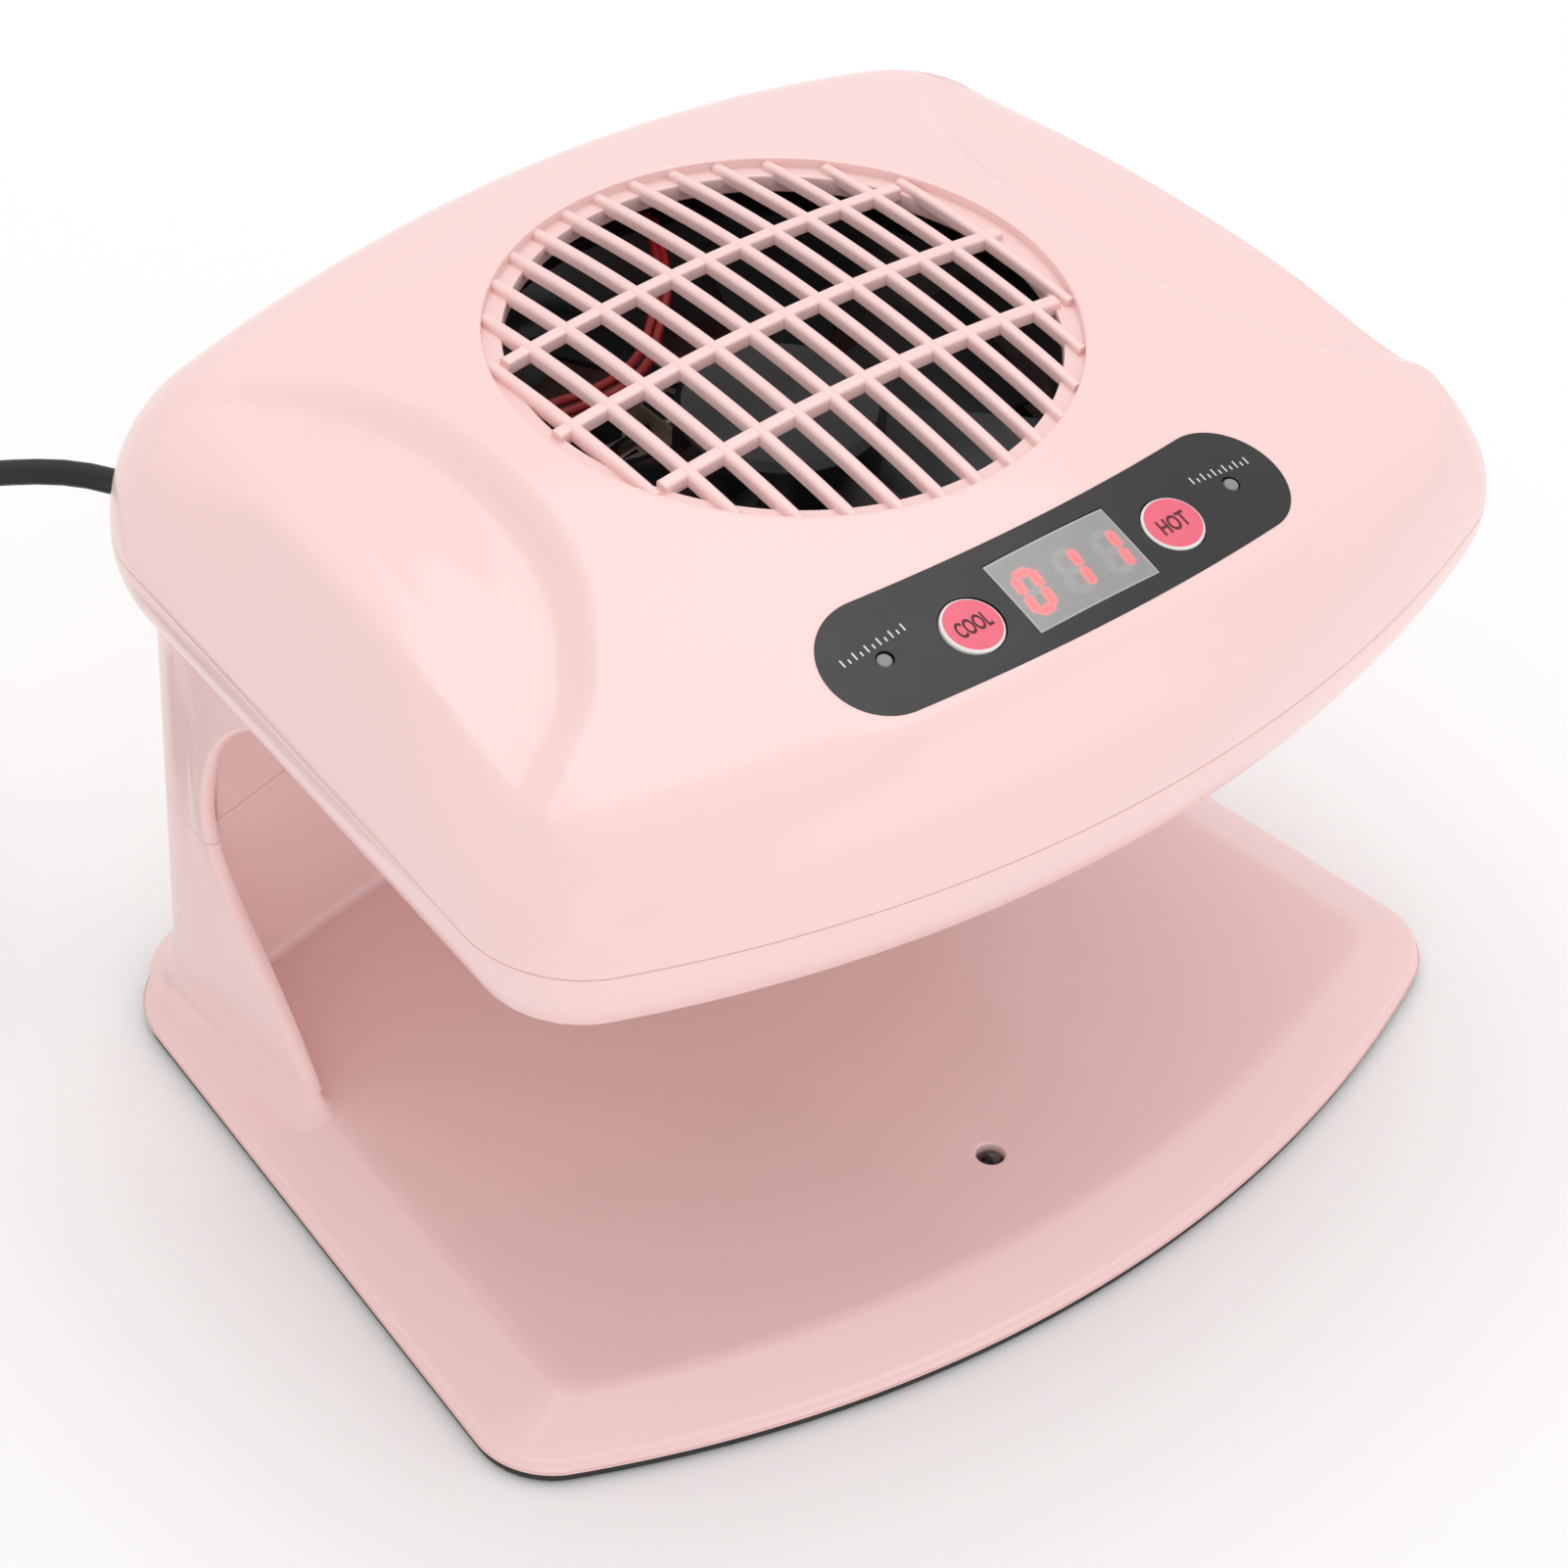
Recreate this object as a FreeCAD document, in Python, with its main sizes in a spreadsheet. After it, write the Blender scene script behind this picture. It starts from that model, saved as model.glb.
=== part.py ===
import FreeCAD
import Part
import math
import os

# Table-top nail dryer: a warm/cool air head over a hand bay, on a C-shaped body.
# Millimetres.  X to the right seen from the front, Y to the back, Z up.
# The origin is on the table, in the middle of the body's footprint.

V = FreeCAD.Vector
doc = FreeCAD.newDocument("nail_dryer")

# ---------------------------------------------------------------- driving sizes
SIZES = [
    ("wall", 2.4, "moulded wall thickness"),
    ("head_half_w", 114.4, "head half width at Y = 0, widest line"),
    ("head_front", -96.1, "front of the head, widest line"),
    ("head_rear", 98.3, "rear of the head, widest line"),
    ("head_low", 112.0, "underside of the head"),
    ("head_seam", 127.6, "parting line of the head"),
    ("head_top", 174.4, "highest point of the crowned top"),
    ("crown_y", 9.0, "where the crown is highest"),
    ("crown_long", 311.0, "crown radius front to back"),
    ("crown_side", 370.0, "crown radius side to side"),
    ("low_inset", 5.15, "how far the head tucks in at its underside"),
    ("base_half_w", 114.1, "base half width at Y = 0"),
    ("base_front", -98.4, "front of the base"),
    ("base_rear", 97.0, "rear of the base"),
    ("ridge_z", 6.5, "height of the base's outer ridge"),
    ("floor_z", 12.5, "height of the hand floor"),
    ("shell_split_z", 59.0, "joint between the base cover and the head's lower shell"),
    ("grille_y", 8.7, "grille centre"),
    ("grille_hole_r", 51.9, "open radius under the grille"),
    ("grille_rim_r", 55.8, "radius of the recess round the grille"),
    ("bar_pitch", 8.26, "pitch of the grille bars"),
    ("bar_w", 2.4, "width of a grille bar"),
    ("ledge_drop", 2.4, "how far the ledge round the grille lies below the crown"),
    ("skirt_z", 2.8, "lower edge of the base cover"),
    ("cross_pitch", 22.9, "pitch of the cross bars"),
    ("bay_back", 76.0, "inner back wall of the hand bay, at the middle"),
    ("col_rear", 93.0, "rear face of the column, at the middle"),
    ("col_half", 97.5, "half width of the column"),
    ("plate_t", 2.2, "thickness of the bottom plate"),
    ("foot_h", 0.8, "how far the feet stand below the plate"),
    ("foot_d", 14.0, "foot diameter"),
    ("fan_size", 120.0, "fan frame, square"),
    ("fan_depth", 25.0, "fan frame, thickness"),
    ("fan_low", 130.0, "underside of the fan"),
    ("fan_bore_r", 57.5, "fan frame bore"),
    ("blade_tip_r", 56.3, "impeller tip radius"),
    ("hub_r", 20.0, "impeller hub radius"),
    ("panel_y", -71.2, "middle of the control panel"),
    ("panel_half", 41.0, "panel end centres from the middle"),
    ("panel_r", 12.0, "half height of the control panel"),
    ("button_x", 23.9, "buttons from the middle"),
    ("button_d", 12.0, "button cap diameter"),
    ("button_gap", 0.3, "clearance round a button"),
    ("lamp_x", 41.3, "indicator lamps from the middle"),
    ("cord_d", 5.2, "power cord diameter"),
    ("pcb_t", 1.6, "circuit board thickness"),
]
sheet = doc.addObject("Spreadsheet::Sheet", "Params")
for row, (alias, value, note) in enumerate(SIZES, start=1):
    sheet.set("A%d" % row, alias)
    sheet.set("B%d" % row, str(value))
    sheet.set("C%d" % row, note)
    sheet.setAlias("B%d" % row, alias)
doc.recompute()


def P(alias):
    return float(sheet.get(alias))


NODES = []


def node(obj, label):
    obj.Label = label
    NODES.append(obj)
    return obj


# ---------------------------------------------------------------- helpers
def put(obj, placement):
    obj.Placement = placement
    return obj


def at(x, y, z):
    return FreeCAD.Placement(V(x, y, z), FreeCAD.Rotation())


def sketch_on(body, geometry, name, z=0.0):
    """A sketch of closed loops on the body's XY plane, raised by z."""
    sk = body.newObject("Sketcher::SketchObject", name)
    plane = [f for f in body.Origin.OriginFeatures if f.Role == "XY_Plane"][0]
    sk.AttachmentSupport = [(plane, "")]
    sk.MapMode = "FlatFace"
    sk.AttachmentOffset = at(0, 0, z)
    sk.addGeometry(geometry, False)
    return sk


def circle(x, y, r):
    return Part.Circle(V(x, y, 0), V(0, 0, 1), r)


def loop(points):
    """Line segments round a closed polygon."""
    out = []
    for i, a in enumerate(points):
        b = points[(i + 1) % len(points)]
        out.append(Part.LineSegment(V(a[0], a[1], 0), V(b[0], b[1], 0)))
    return out


def box_loop(x0, y0, x1, y1):
    return loop([(x0, y0), (x1, y0), (x1, y1), (x0, y1)])


def round_loop(x0, y0, x1, y1, r):
    """A rectangle with rounded corners."""
    c = r * (1 - math.sqrt(0.5))
    line = Part.LineSegment
    arc = Part.Arc
    return [
        line(V(x0 + r, y0, 0), V(x1 - r, y0, 0)),
        arc(V(x1 - r, y0, 0), V(x1 - c, y0 + c, 0), V(x1, y0 + r, 0)),
        line(V(x1, y0 + r, 0), V(x1, y1 - r, 0)),
        arc(V(x1, y1 - r, 0), V(x1 - c, y1 - c, 0), V(x1 - r, y1, 0)),
        line(V(x1 - r, y1, 0), V(x0 + r, y1, 0)),
        arc(V(x0 + r, y1, 0), V(x0 + c, y1 - c, 0), V(x0, y1 - r, 0)),
        line(V(x0, y1 - r, 0), V(x0, y0 + r, 0)),
        arc(V(x0, y0 + r, 0), V(x0 + c, y0 + c, 0), V(x0 + r, y0, 0)),
    ]


def pad_body(name, geometry, z, height, alias=None, placement=None, holes=None):
    """A body with one padded sketch and, optionally, pockets through it."""
    body = doc.addObject("PartDesign::Body", name)
    sk = sketch_on(body, geometry, name + "_sk", z)
    pad = body.newObject("PartDesign::Pad", name + "_pad")
    pad.Profile = sk
    pad.Length = height
    if alias:
        pad.setExpression("Length", "Params." + alias)
    body.Tip = pad
    if holes:
        hs = sketch_on(body, holes, name + "_holes", z)
        cut = body.newObject("PartDesign::Pocket", name + "_pocket")
        cut.Profile = hs
        cut.Type = 1
        cut.Midplane = True
        body.Tip = cut
    if placement:
        body.Placement = placement
    return body


def prism(name, geometry, z, height):
    """A plain padded sketch used as a tool for booleans."""
    return pad_body(name, geometry, z, height)


def turned(name, profile, placement=None):
    """A body revolved about its Z axis from an (r, z) profile."""
    body = doc.addObject("PartDesign::Body", name)
    sk = body.newObject("Sketcher::SketchObject", name + "_sk")
    plane = [f for f in body.Origin.OriginFeatures if f.Role == "XZ_Plane"][0]
    sk.AttachmentSupport = [(plane, "")]
    sk.MapMode = "FlatFace"
    sk.addGeometry(loop(profile), False)
    rev = body.newObject("PartDesign::Revolution", name + "_rev")
    rev.Profile = sk
    rev.ReferenceAxis = (sk, ["V_Axis"])
    rev.Angle = 360
    body.Tip = rev
    if placement:
        body.Placement = placement
    return body


def fuse(name, parts):
    o = doc.addObject("Part::MultiFuse", name)
    o.Shapes = parts
    o.Refine = False
    return o


def common(name, parts):
    o = doc.addObject("Part::MultiCommon", name)
    o.Shapes = parts
    return o


def cut(name, a, b):
    o = doc.addObject("Part::Cut", name)
    o.Base = a
    o.Tool = b
    return o


def cyl(name, x, y, z, r, h):
    o = doc.addObject("Part::Cylinder", name)
    o.Radius = r
    o.Height = h
    o.Placement = at(x, y, z)
    return o


def box(name, x0, y0, z0, dx, dy, dz):
    o = doc.addObject("Part::Box", name)
    o.Length = dx
    o.Width = dy
    o.Height = dz
    o.Placement = at(x0, y0, z0)
    return o


def frame_of(origin, normal, xdir=V(1, 0, 0)):
    """A placement whose Z is the normal and whose X follows xdir."""
    n = V(normal)
    n.normalize()
    yv = n.cross(xdir)
    yv.normalize()
    xv = yv.cross(n)
    m = FreeCAD.Matrix(
        xv.x, yv.x, n.x, origin.x,
        xv.y, yv.y, n.y, origin.y,
        xv.z, yv.z, n.z, origin.z,
        0, 0, 0, 1)
    return FreeCAD.Placement(m)


# ---------------------------------------------------------------- plan outlines
HEAD = dict(w=P("head_half_w"), k=0.091, yf=P("head_front"), rf=275.0,
            yr=P("head_rear"), rr=536.0, cf=24.0, cr=29.0)
BASE = dict(w=P("base_half_w"), k=0.117, yf=P("base_front"), rf=260.0,
            yr=P("base_rear"), rr=536.0, cf=17.0, cr=22.0)
DECK = dict(w=98.2, k=0.11, yf=-85.1, rf=260.0, yr=86.0, rr=536.0, cf=8.0, cr=12.0)


def outline_points(o, inset):
    """Corner centres and tangent points of the right half of an outline."""
    c = 1.0 / math.hypot(1.0, o["k"])
    w = o["w"] - inset / c
    k = o["k"]
    yf = o["yf"] + inset
    yr = o["yr"] - inset
    rf = o["rf"] - inset
    rr = o["rr"] - inset
    a = max(o["cf"] - inset, 1.0)
    b = max(o["cr"] - inset, 1.0)

    def corner(cy, big, small, sign):
        off = w - small / c
        qa = 1 + k * k
        qb = -2 * off * k - 2 * cy
        qc = off * off + cy * cy - (big - small) ** 2
        y = (-qb + sign * math.sqrt(max(qb * qb - 4 * qa * qc, 0.0))) / (2 * qa)
        return V(off - k * y, y, 0)

    front_c = V(0, yf + rf, 0)
    rear_c = V(0, yr - rr, 0)
    cf = corner(front_c.y, rf, a, -1)
    cr = corner(rear_c.y, rr, b, 1)
    side = V(c, k * c, 0)
    df = (cf - front_c).normalize()
    dr = (cr - rear_c).normalize()
    mf = (df + side).normalize()
    mr = (dr + side).normalize()
    return dict(front=V(0, yf, 0), f1=cf + df * a, fm=cf + mf * a, f2=cf + side * a,
                r1=cr + side * b, rm=cr + mr * b, r2=cr + dr * b, rear=V(0, yr, 0))


def outline(o, inset):
    """Eight tangent arcs and lines round a plan outline."""
    p = outline_points(o, inset)

    def left(v):
        return V(-v.x, v.y, 0)

    arc = Part.Arc
    line = Part.LineSegment
    return [
        arc(left(p["f1"]), p["front"], p["f1"]),
        arc(p["f1"], p["fm"], p["f2"]),
        line(p["f2"], p["r1"]),
        arc(p["r1"], p["rm"], p["r2"]),
        arc(p["r2"], p["rear"], left(p["r2"])),
        arc(left(p["r2"]), left(p["rm"]), left(p["r1"])),
        line(left(p["r1"]), left(p["f2"])),
        arc(left(p["f2"]), left(p["fm"]), left(p["f1"])),
    ]


def level(name, geometry, z, rule=None):
    """A sketch at a height, which may follow a rule on the sheet's sizes."""
    sk = doc.addObject("Sketcher::SketchObject", name)
    sk.Placement = at(0, 0, z)
    if rule:
        sk.setExpression("Placement.Base.z", rule)
    sk.addGeometry(geometry, False)
    return sk


def loft(name, rings, ruled=False):
    """A solid through plan outlines at rising heights: (outline, inset, z, and a rule for z or nothing)."""
    sections = []
    for i, (o, inset, z, *rule) in enumerate(rings):
        sections.append(level("%s_s%d" % (name, i), outline(o, inset), z, *rule))
    lf = doc.addObject("Part::Loft", name)
    lf.Sections = sections
    lf.Solid = True
    lf.Ruled = ruled
    return lf


CROWN_REACH = 112.0   # half the crown's length that is modelled
CROWN_DEPTH = 72.0    # how far the solid under the crown reaches down
CROWN_SWEEP = 48.0    # degrees of the crown's turn about its long axis


def arc_sag(radius, off):
    """How far an arc lies below its top at a distance from its middle."""
    return radius - math.sqrt(radius ** 2 - off ** 2)


def crown(name, drop):
    """The solid under the crowned top, lowered by drop."""
    r_long = P("crown_long")
    r_side = P("crown_side")
    top = P("head_top") - drop
    cy = P("crown_y")
    axis_z = top - r_side
    half = CROWN_REACH
    sag = arc_sag(r_long, half)
    low = top - CROWN_DEPTH
    # profile in the sketch plane: x = Y of the object, y = height above the axis
    sk = doc.addObject("Sketcher::SketchObject", name + "_sk")
    a = V(cy - half, r_side - sag, 0)
    m = V(cy, r_side, 0)
    b = V(cy + half, r_side - sag, 0)
    d = V(cy + half, low - axis_z, 0)
    e = V(cy - half, low - axis_z, 0)
    sk.addGeometry([Part.Arc(a, m, b), Part.LineSegment(b, d), Part.LineSegment(d, e),
                    Part.LineSegment(e, a)], False)
    turn = FreeCAD.Rotation(V(0, 1, 0), V(0, 0, 1), V(1, 0, 0), "ZXY")
    sk.Placement = FreeCAD.Placement(V(0, 0, axis_z), turn)
    sk.setExpression("Placement.Base.z", "Params.head_top - Params.crown_side - %s" % drop)
    rev = doc.addObject("Part::Revolution", name)
    rev.Source = sk
    rev.Axis = V(0, 1, 0)
    rev.Base = V(0, 0, axis_z)
    rev.Angle = CROWN_SWEEP
    rev.Solid = True
    rev.Symmetric = True
    return rev


def crown_z(x, y):
    """Height of the crown: an arc front to back, turned about an axis below it."""
    across = P("crown_side") - arc_sag(P("crown_long"), y - P("crown_y"))
    return P("head_top") - P("crown_side") + math.sqrt(across ** 2 - x ** 2)


wall = P("wall")
grille_y = P("grille_y")

# ---------------------------------------------------------------- top cover
SHOULDER = [(0.0, 0.0), (7.0, 0.25), (14.0, 1.3), (21.0, 3.7), (28.0, 8.5), (34.0, 15.5), (48.0, 34.0)]


def head_upper(name, inset, drop):
    rings = []
    for up, tuck in SHOULDER:
        rings.append((HEAD, tuck + inset, P("head_seam") + up, "Params.head_seam + %s" % up))
    side = loft(name + "_side", rings)
    top = crown(name + "_crown", drop)
    return common(name, [side, top])


outer = head_upper("cover_outer", 0.0, 0.0)
inner = head_upper("cover_inner", wall, wall)
shell0 = cut("cover_shell0", outer, inner)

# depths below the crown, in pairs of upper and lower face
RING = (0.4, 6.2)
BARS = (0.8, 3.4)
CROSS_BARS = (1.0, 3.7)
SEAT_DROP = 0.8
FILM_T = 0.75
WINDOW_SHEET = (0.05, 0.72)
# tools that reach right through the top
TOOL_LOW = 120.0
TOOL_MID = 130.0
TOOL_H = 60.0

ring_band = cut("ring_band", crown("ring_hi", RING[0]), crown("ring_lo", RING[1]))
ring_tube = prism("ring_tube", [circle(0, grille_y, P("grille_rim_r") + wall)], TOOL_LOW, TOOL_H)
ring_add = common("ring_add", [ring_band, ring_tube])
shell1 = fuse("cover_shell1", [shell0, ring_add])

# recess round the grille, the open hole, and the shallow seat of the panel
recess_tool = cut("recess_tool",
                  prism("recess_col", [circle(0, grille_y, P("grille_rim_r"))], TOOL_MID, TOOL_H),
                  crown("recess_floor", P("ledge_drop")))
hole_tool = prism("hole_tool", [circle(0, grille_y, P("grille_hole_r"))], TOOL_LOW, TOOL_H)


PANEL_BEND = 263.0
SEAT_GAP = 0.15


def panel_loop(grow):
    """The control panel: a racetrack bent to follow the front of the head."""
    big = PANEL_BEND
    half = P("panel_half")
    r = P("panel_r") + grow
    y0 = P("panel_y")
    c = V(0, y0 + big, 0)
    ang = math.asin(half / big)

    def on(radius, a):
        return V(radius * math.sin(a), c.y - radius * math.cos(a), 0)

    end = on(big, ang)
    out_dir = V(math.cos(ang), math.sin(ang), 0)
    tip = end + out_dir * r

    def left(v):
        return V(-v.x, v.y, 0)

    return [
        Part.Arc(left(on(big + r, ang)), on(big + r, 0), on(big + r, ang)),
        Part.Arc(on(big + r, ang), tip, on(big - r, ang)),
        Part.Arc(on(big - r, ang), on(big - r, 0), left(on(big - r, ang))),
        Part.Arc(left(on(big - r, ang)), left(tip), left(on(big + r, ang))),
    ]


seat_tool = cut("seat_tool", prism("seat_col", panel_loop(SEAT_GAP), TOOL_MID, TOOL_H),
                crown("seat_floor", SEAT_DROP))

# the panel's flat frame, for everything that sits behind it
panel_back = P("crown_y") - P("panel_y")
slope = panel_back / math.sqrt(P("crown_long") ** 2 - panel_back ** 2)
panel_n = V(0, -slope, 1).normalize()
panel_o = V(0, P("panel_y"), crown_z(0, P("panel_y")))
panel_frame = frame_of(panel_o, panel_n)
BUTTON_V = -0.9
LAMP_V = 1.8
WIN_W = 28.4
WIN_H = 16.9


def in_panel(u, v, w):
    return panel_frame.multVec(V(u, v, w))


def panel_prism(name, geometry, w0, h):
    return pad_body(name, geometry, w0, h, placement=panel_frame)


def ring_of(u, v, r):
    return [circle(u, v, r)]


button_hole_r = P("button_d") / 2 + P("button_gap")
open_geo = box_loop(-WIN_W / 2 + 0.6, -WIN_H / 2 + 0.6, WIN_W / 2 - 0.6, WIN_H / 2 - 0.6)
open_geo += ring_of(-P("button_x"), BUTTON_V, button_hole_r)
open_geo += ring_of(P("button_x"), BUTTON_V, button_hole_r)
open_geo += ring_of(-P("lamp_x"), LAMP_V, 1.9)
open_geo += ring_of(P("lamp_x"), LAMP_V, 1.9)
panel_open = panel_prism("panel_open", open_geo, -9, 14)

cover_cuts = fuse("cover_cuts", [recess_tool, hole_tool, seat_tool, panel_open])
shell2 = cut("cover_shell2", shell1, cover_cuts)

# grille bars and cross bars, with their ends buried in the ring round them
BURIED = 1.2
CROSS_W = 2.8
bar_reach = P("grille_rim_r") + BURIED
bars = []
for i in range(-6, 7):
    x = i * P("bar_pitch")
    bars += box_loop(x - P("bar_w") / 2, grille_y - bar_reach, x + P("bar_w") / 2, grille_y + bar_reach)
bar_cols = prism("bar_cols", bars, TOOL_MID, TOOL_H)
bar_disc = prism("bar_disc", [circle(0, grille_y, bar_reach)], TOOL_MID, TOOL_H)
bar_band = cut("bar_band", crown("bar_hi", BARS[0]), crown("bar_lo", BARS[1]))
bar_set = common("bar_set", [bar_cols, bar_disc, bar_band])
cross_reach = P("grille_hole_r") + BURIED
cross = []
for i in (-1, 0, 1):
    y = grille_y + i * P("cross_pitch")
    cross += box_loop(-cross_reach, y - CROSS_W / 2, cross_reach, y + CROSS_W / 2)
cross_cols = prism("cross_cols", cross, TOOL_MID, TOOL_H)
cross_disc = prism("cross_disc", [circle(0, grille_y, cross_reach)], TOOL_MID, TOOL_H)
cross_band = cut("cross_band", crown("cross_hi", CROSS_BARS[0]), crown("cross_lo", CROSS_BARS[1]))
cross_set = common("cross_set", [cross_cols, cross_disc, cross_band])

# screw bosses that meet the posts of the lower shell
BOSSES = [(-92, -62), (92, -62), (-86, 62), (86, 62)]
boss_cols = prism("boss_cols", [circle(x, y, 4.0) for x, y in BOSSES], P("head_seam") + 0.3, 40)
boss_in = common("boss_in", [boss_cols, crown("boss_top", 1.2)])
boss_bore = prism("boss_bore", [circle(x, y, 1.3) for x, y in BOSSES], P("head_seam") - 1, 16)
cover_all = fuse("cover_all", [shell2, bar_set, cross_set, boss_in])
node(cut("top_cover_obj", cover_all, boss_bore), "top_cover")

# ---------------------------------------------------------------- head lower shell
seam = P("head_seam")
low = P("head_low")
tuck = P("low_inset")


def tuck_at(z):
    s = (z - low) / (seam - low)
    return tuck * (1 - s) ** 2


def pan_rings(inset, z0):
    rings = []
    for t in (0.0, 0.33, 0.66, 1.0):
        z = z0 + (seam - z0) * t
        rings.append((HEAD, tuck_at(z) + inset, z))
    return rings


pan_outer = loft("pan_outer", pan_rings(0.0, low))
pan_inner = loft("pan_inner", pan_rings(wall, low + wall) + [(HEAD, wall, seam + 6)])


def column_loop(inset):
    """Plan of the column: curved bay wall in front, rounded rear corners."""
    hw = P("col_half") - inset
    bay = P("bay_back") + inset
    rear = P("col_rear") - inset
    yf = bay - hw * hw / (2 * 354.0)
    a = V(-hw, yf, 0)
    b = V(hw, yf, 0)
    c = V(hw - 2.2, 72.0, 0)
    d = V(hw - 17.5, rear - 5.0, 0)
    m = V(hw - 6.0, rear - 10.5 - 0.2 * inset, 0)

    def left(v):
        return V(-v.x, v.y, 0)

    return [
        Part.Arc(a, V(0, bay, 0), b),
        Part.LineSegment(b, c),
        Part.Arc(c, m, d),
        Part.Arc(d, V(0, rear, 0), left(d)),
        Part.Arc(left(d), left(m), left(c)),
        Part.LineSegment(left(c), a),
    ]


split = P("shell_split_z")
BAY = [(24.0, 12.4), (33.0, 25.5), (43.0, 37.5), (51.5, 47.0), (57.3, 56.0),
       (59.8, 66.0), (58.0, 78.0), (53.3, 88.5), (43.5, 98.5), (28.0, 106.5), (8.0, 112.2)]


def cheek(name, x0, x1, z0, z1):
    """A side cheek between x0 and x1: the C-shaped edge of the hand bay."""
    pts = [V(0, y, z) for y, z in BAY]
    curve = Part.BSplineCurve()
    curve.interpolate(pts)
    edge = curve.toShape()
    lines = [V(0, 8.0, 112.2), V(0, 8.0, 114.0), V(0, 74.0, 114.0), V(0, 74.0, 10.5), V(0, 24.0, 10.5),
             V(0, 24.0, 12.4)]
    edges = [edge]
    for i in range(len(lines) - 1):
        edges.append(Part.makeLine(lines[i], lines[i + 1]))
    face = Part.Face(Part.Wire(edges))
    solid = face.extrude(V(x1 - x0, 0, 0))
    solid.translate(V(x0, 0, 0))
    clip = Part.makeBox(400, 400, z1 - z0, V(-200, -200, z0))
    f = doc.addObject("Part::Feature", name)
    f.Shape = solid.common(clip)
    return f


col_up_out = prism("col_up_out", column_loop(0), split, low + 1.0 - split)
col_up_in = prism("col_up_in", column_loop(wall), split - 1, low + 20.0 - split)
cheeks_up = [cheek("cheek_ul", -98.5, -94.0, split, 113.0), cheek("cheek_ur", 94.0, 98.5, split, 113.0)]
pan_shell = cut("pan_shell", pan_outer, pan_inner)
pan_body = fuse("pan_body", [pan_shell, col_up_out] + cheeks_up)

outlet_half = 50.0
outlet_geo = box_loop(-outlet_half, grille_y - outlet_half, outlet_half, grille_y + outlet_half)
outlet = prism("outlet", outlet_geo, low - 2, 8)
TO_REAR = FreeCAD.Rotation(V(1, 0, 0), -90)
EXIT = V(-74.0, 89.5, 106.3)
BOOT_NECK_R = 3.9
exit_hole = doc.addObject("Part::Cylinder", "exit_hole")
exit_hole.Radius = BOOT_NECK_R + 0.1
exit_hole.Height = 20
exit_hole.Placement = FreeCAD.Placement(EXIT - V(0, 8.0, 0), TO_REAR)
pan_cut = cut("pan_cut", pan_body, fuse("pan_tools", [col_up_in, outlet, exit_hole]))

posts = prism("pan_posts", [circle(x, y, 5.0) for x, y in BOSSES], low + 1.0, seam - low - 1.0)
screw_sink = prism("screw_sink", [circle(x, y, 3.3) for x, y in BOSSES], low - 2.0, 5.0)
post_bore = prism("pan_post_bore", [circle(x, y, 1.7) for x, y in BOSSES], low - 2, 40)
FAN_HOLES = [(sx * 52.5, grille_y + sy * 52.5) for sx in (-1, 1) for sy in (-1, 1)]
fan_post_geo = [circle(x, y, 4.0) for x, y in FAN_HOLES]
fan_posts = prism("fan_posts", fan_post_geo, low + 1.0, P("fan_low") - low - 1.0)
fan_post_bore = prism("fan_post_bore", [circle(x, y, 1.3) for x, y in FAN_HOLES], low + 6, 30)
POWER = (64.0, -36.0, 98.0, 44.0)
PB_HOLES = [(68, -32), (94, -32), (68, 40), (94, 40)]
pb_posts = prism("pb_posts", [circle(x, y, 3.0) for x, y in PB_HOLES], low + 1.0, 6.0)
pb_bore = prism("pb_bore", [circle(x, y, 1.1) for x, y in PB_HOLES], low + 3.0, 20)
pan_full = fuse("pan_full", [pan_cut, posts, fan_posts, pb_posts])
pan_bores = fuse("pan_bores", [post_bore, screw_sink, fan_post_bore, pb_bore])
node(cut("head_lower_obj", pan_full, pan_bores), "head_lower_shell")

# ---------------------------------------------------------------- base cover
floor_z = P("floor_z")
ridge_z = P("ridge_z")
skirt_z = P("skirt_z")
skirt = loft("skirt", [(BASE, 0.2, skirt_z), (BASE, 1.7, ridge_z)], True)
band = loft("band", [(BASE, 1.7, ridge_z), (DECK, 0.0, floor_z)], True)
skirt_in = loft("skirt_in", [(BASE, 0.2 + wall, skirt_z - 1), (BASE, 1.7 + wall, ridge_z - 1.2)], True)
band_in = loft("band_in", [(BASE, 1.7 + wall, ridge_z - 1.2), (DECK, 2.2, floor_z - wall)], True)
col_lo_out = prism("col_lo_out", column_loop(0), 8.5, split - 8.5)
col_lo_in = prism("col_lo_in", column_loop(wall), 2.0, split)
cheeks_lo = [cheek("cheek_ll", -98.5, -94.0, 10.5, split), cheek("cheek_lr", 94.0, 98.5, 10.5, split)]
base_solid = fuse("base_solid", [skirt, band, col_lo_out] + cheeks_lo)
SENSOR = (0.0, -64.5)
sensor_bore = prism("sensor_bore", [circle(SENSOR[0], SENSOR[1], 2.9)], 5, 12)
base_hollow = fuse("base_hollow", [skirt_in, band_in, col_lo_in, sensor_bore])
base_shell = cut("base_shell", base_solid, base_hollow)
BASE_SCREWS = [(-82, -54), (82, -54), (-84, 48), (84, 48), (0, 30)]
base_posts = prism("base_posts", [circle(x, y, 4.0) for x, y in BASE_SCREWS], 3.0, floor_z - 4.0)
base_bore = prism("base_bore", [circle(x, y, 1.3) for x, y in BASE_SCREWS], 2, 7.5)
base_full = fuse("base_full", [base_shell, base_posts])
node(cut("base_cover_obj", base_full, base_bore), "base_cover")

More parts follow.
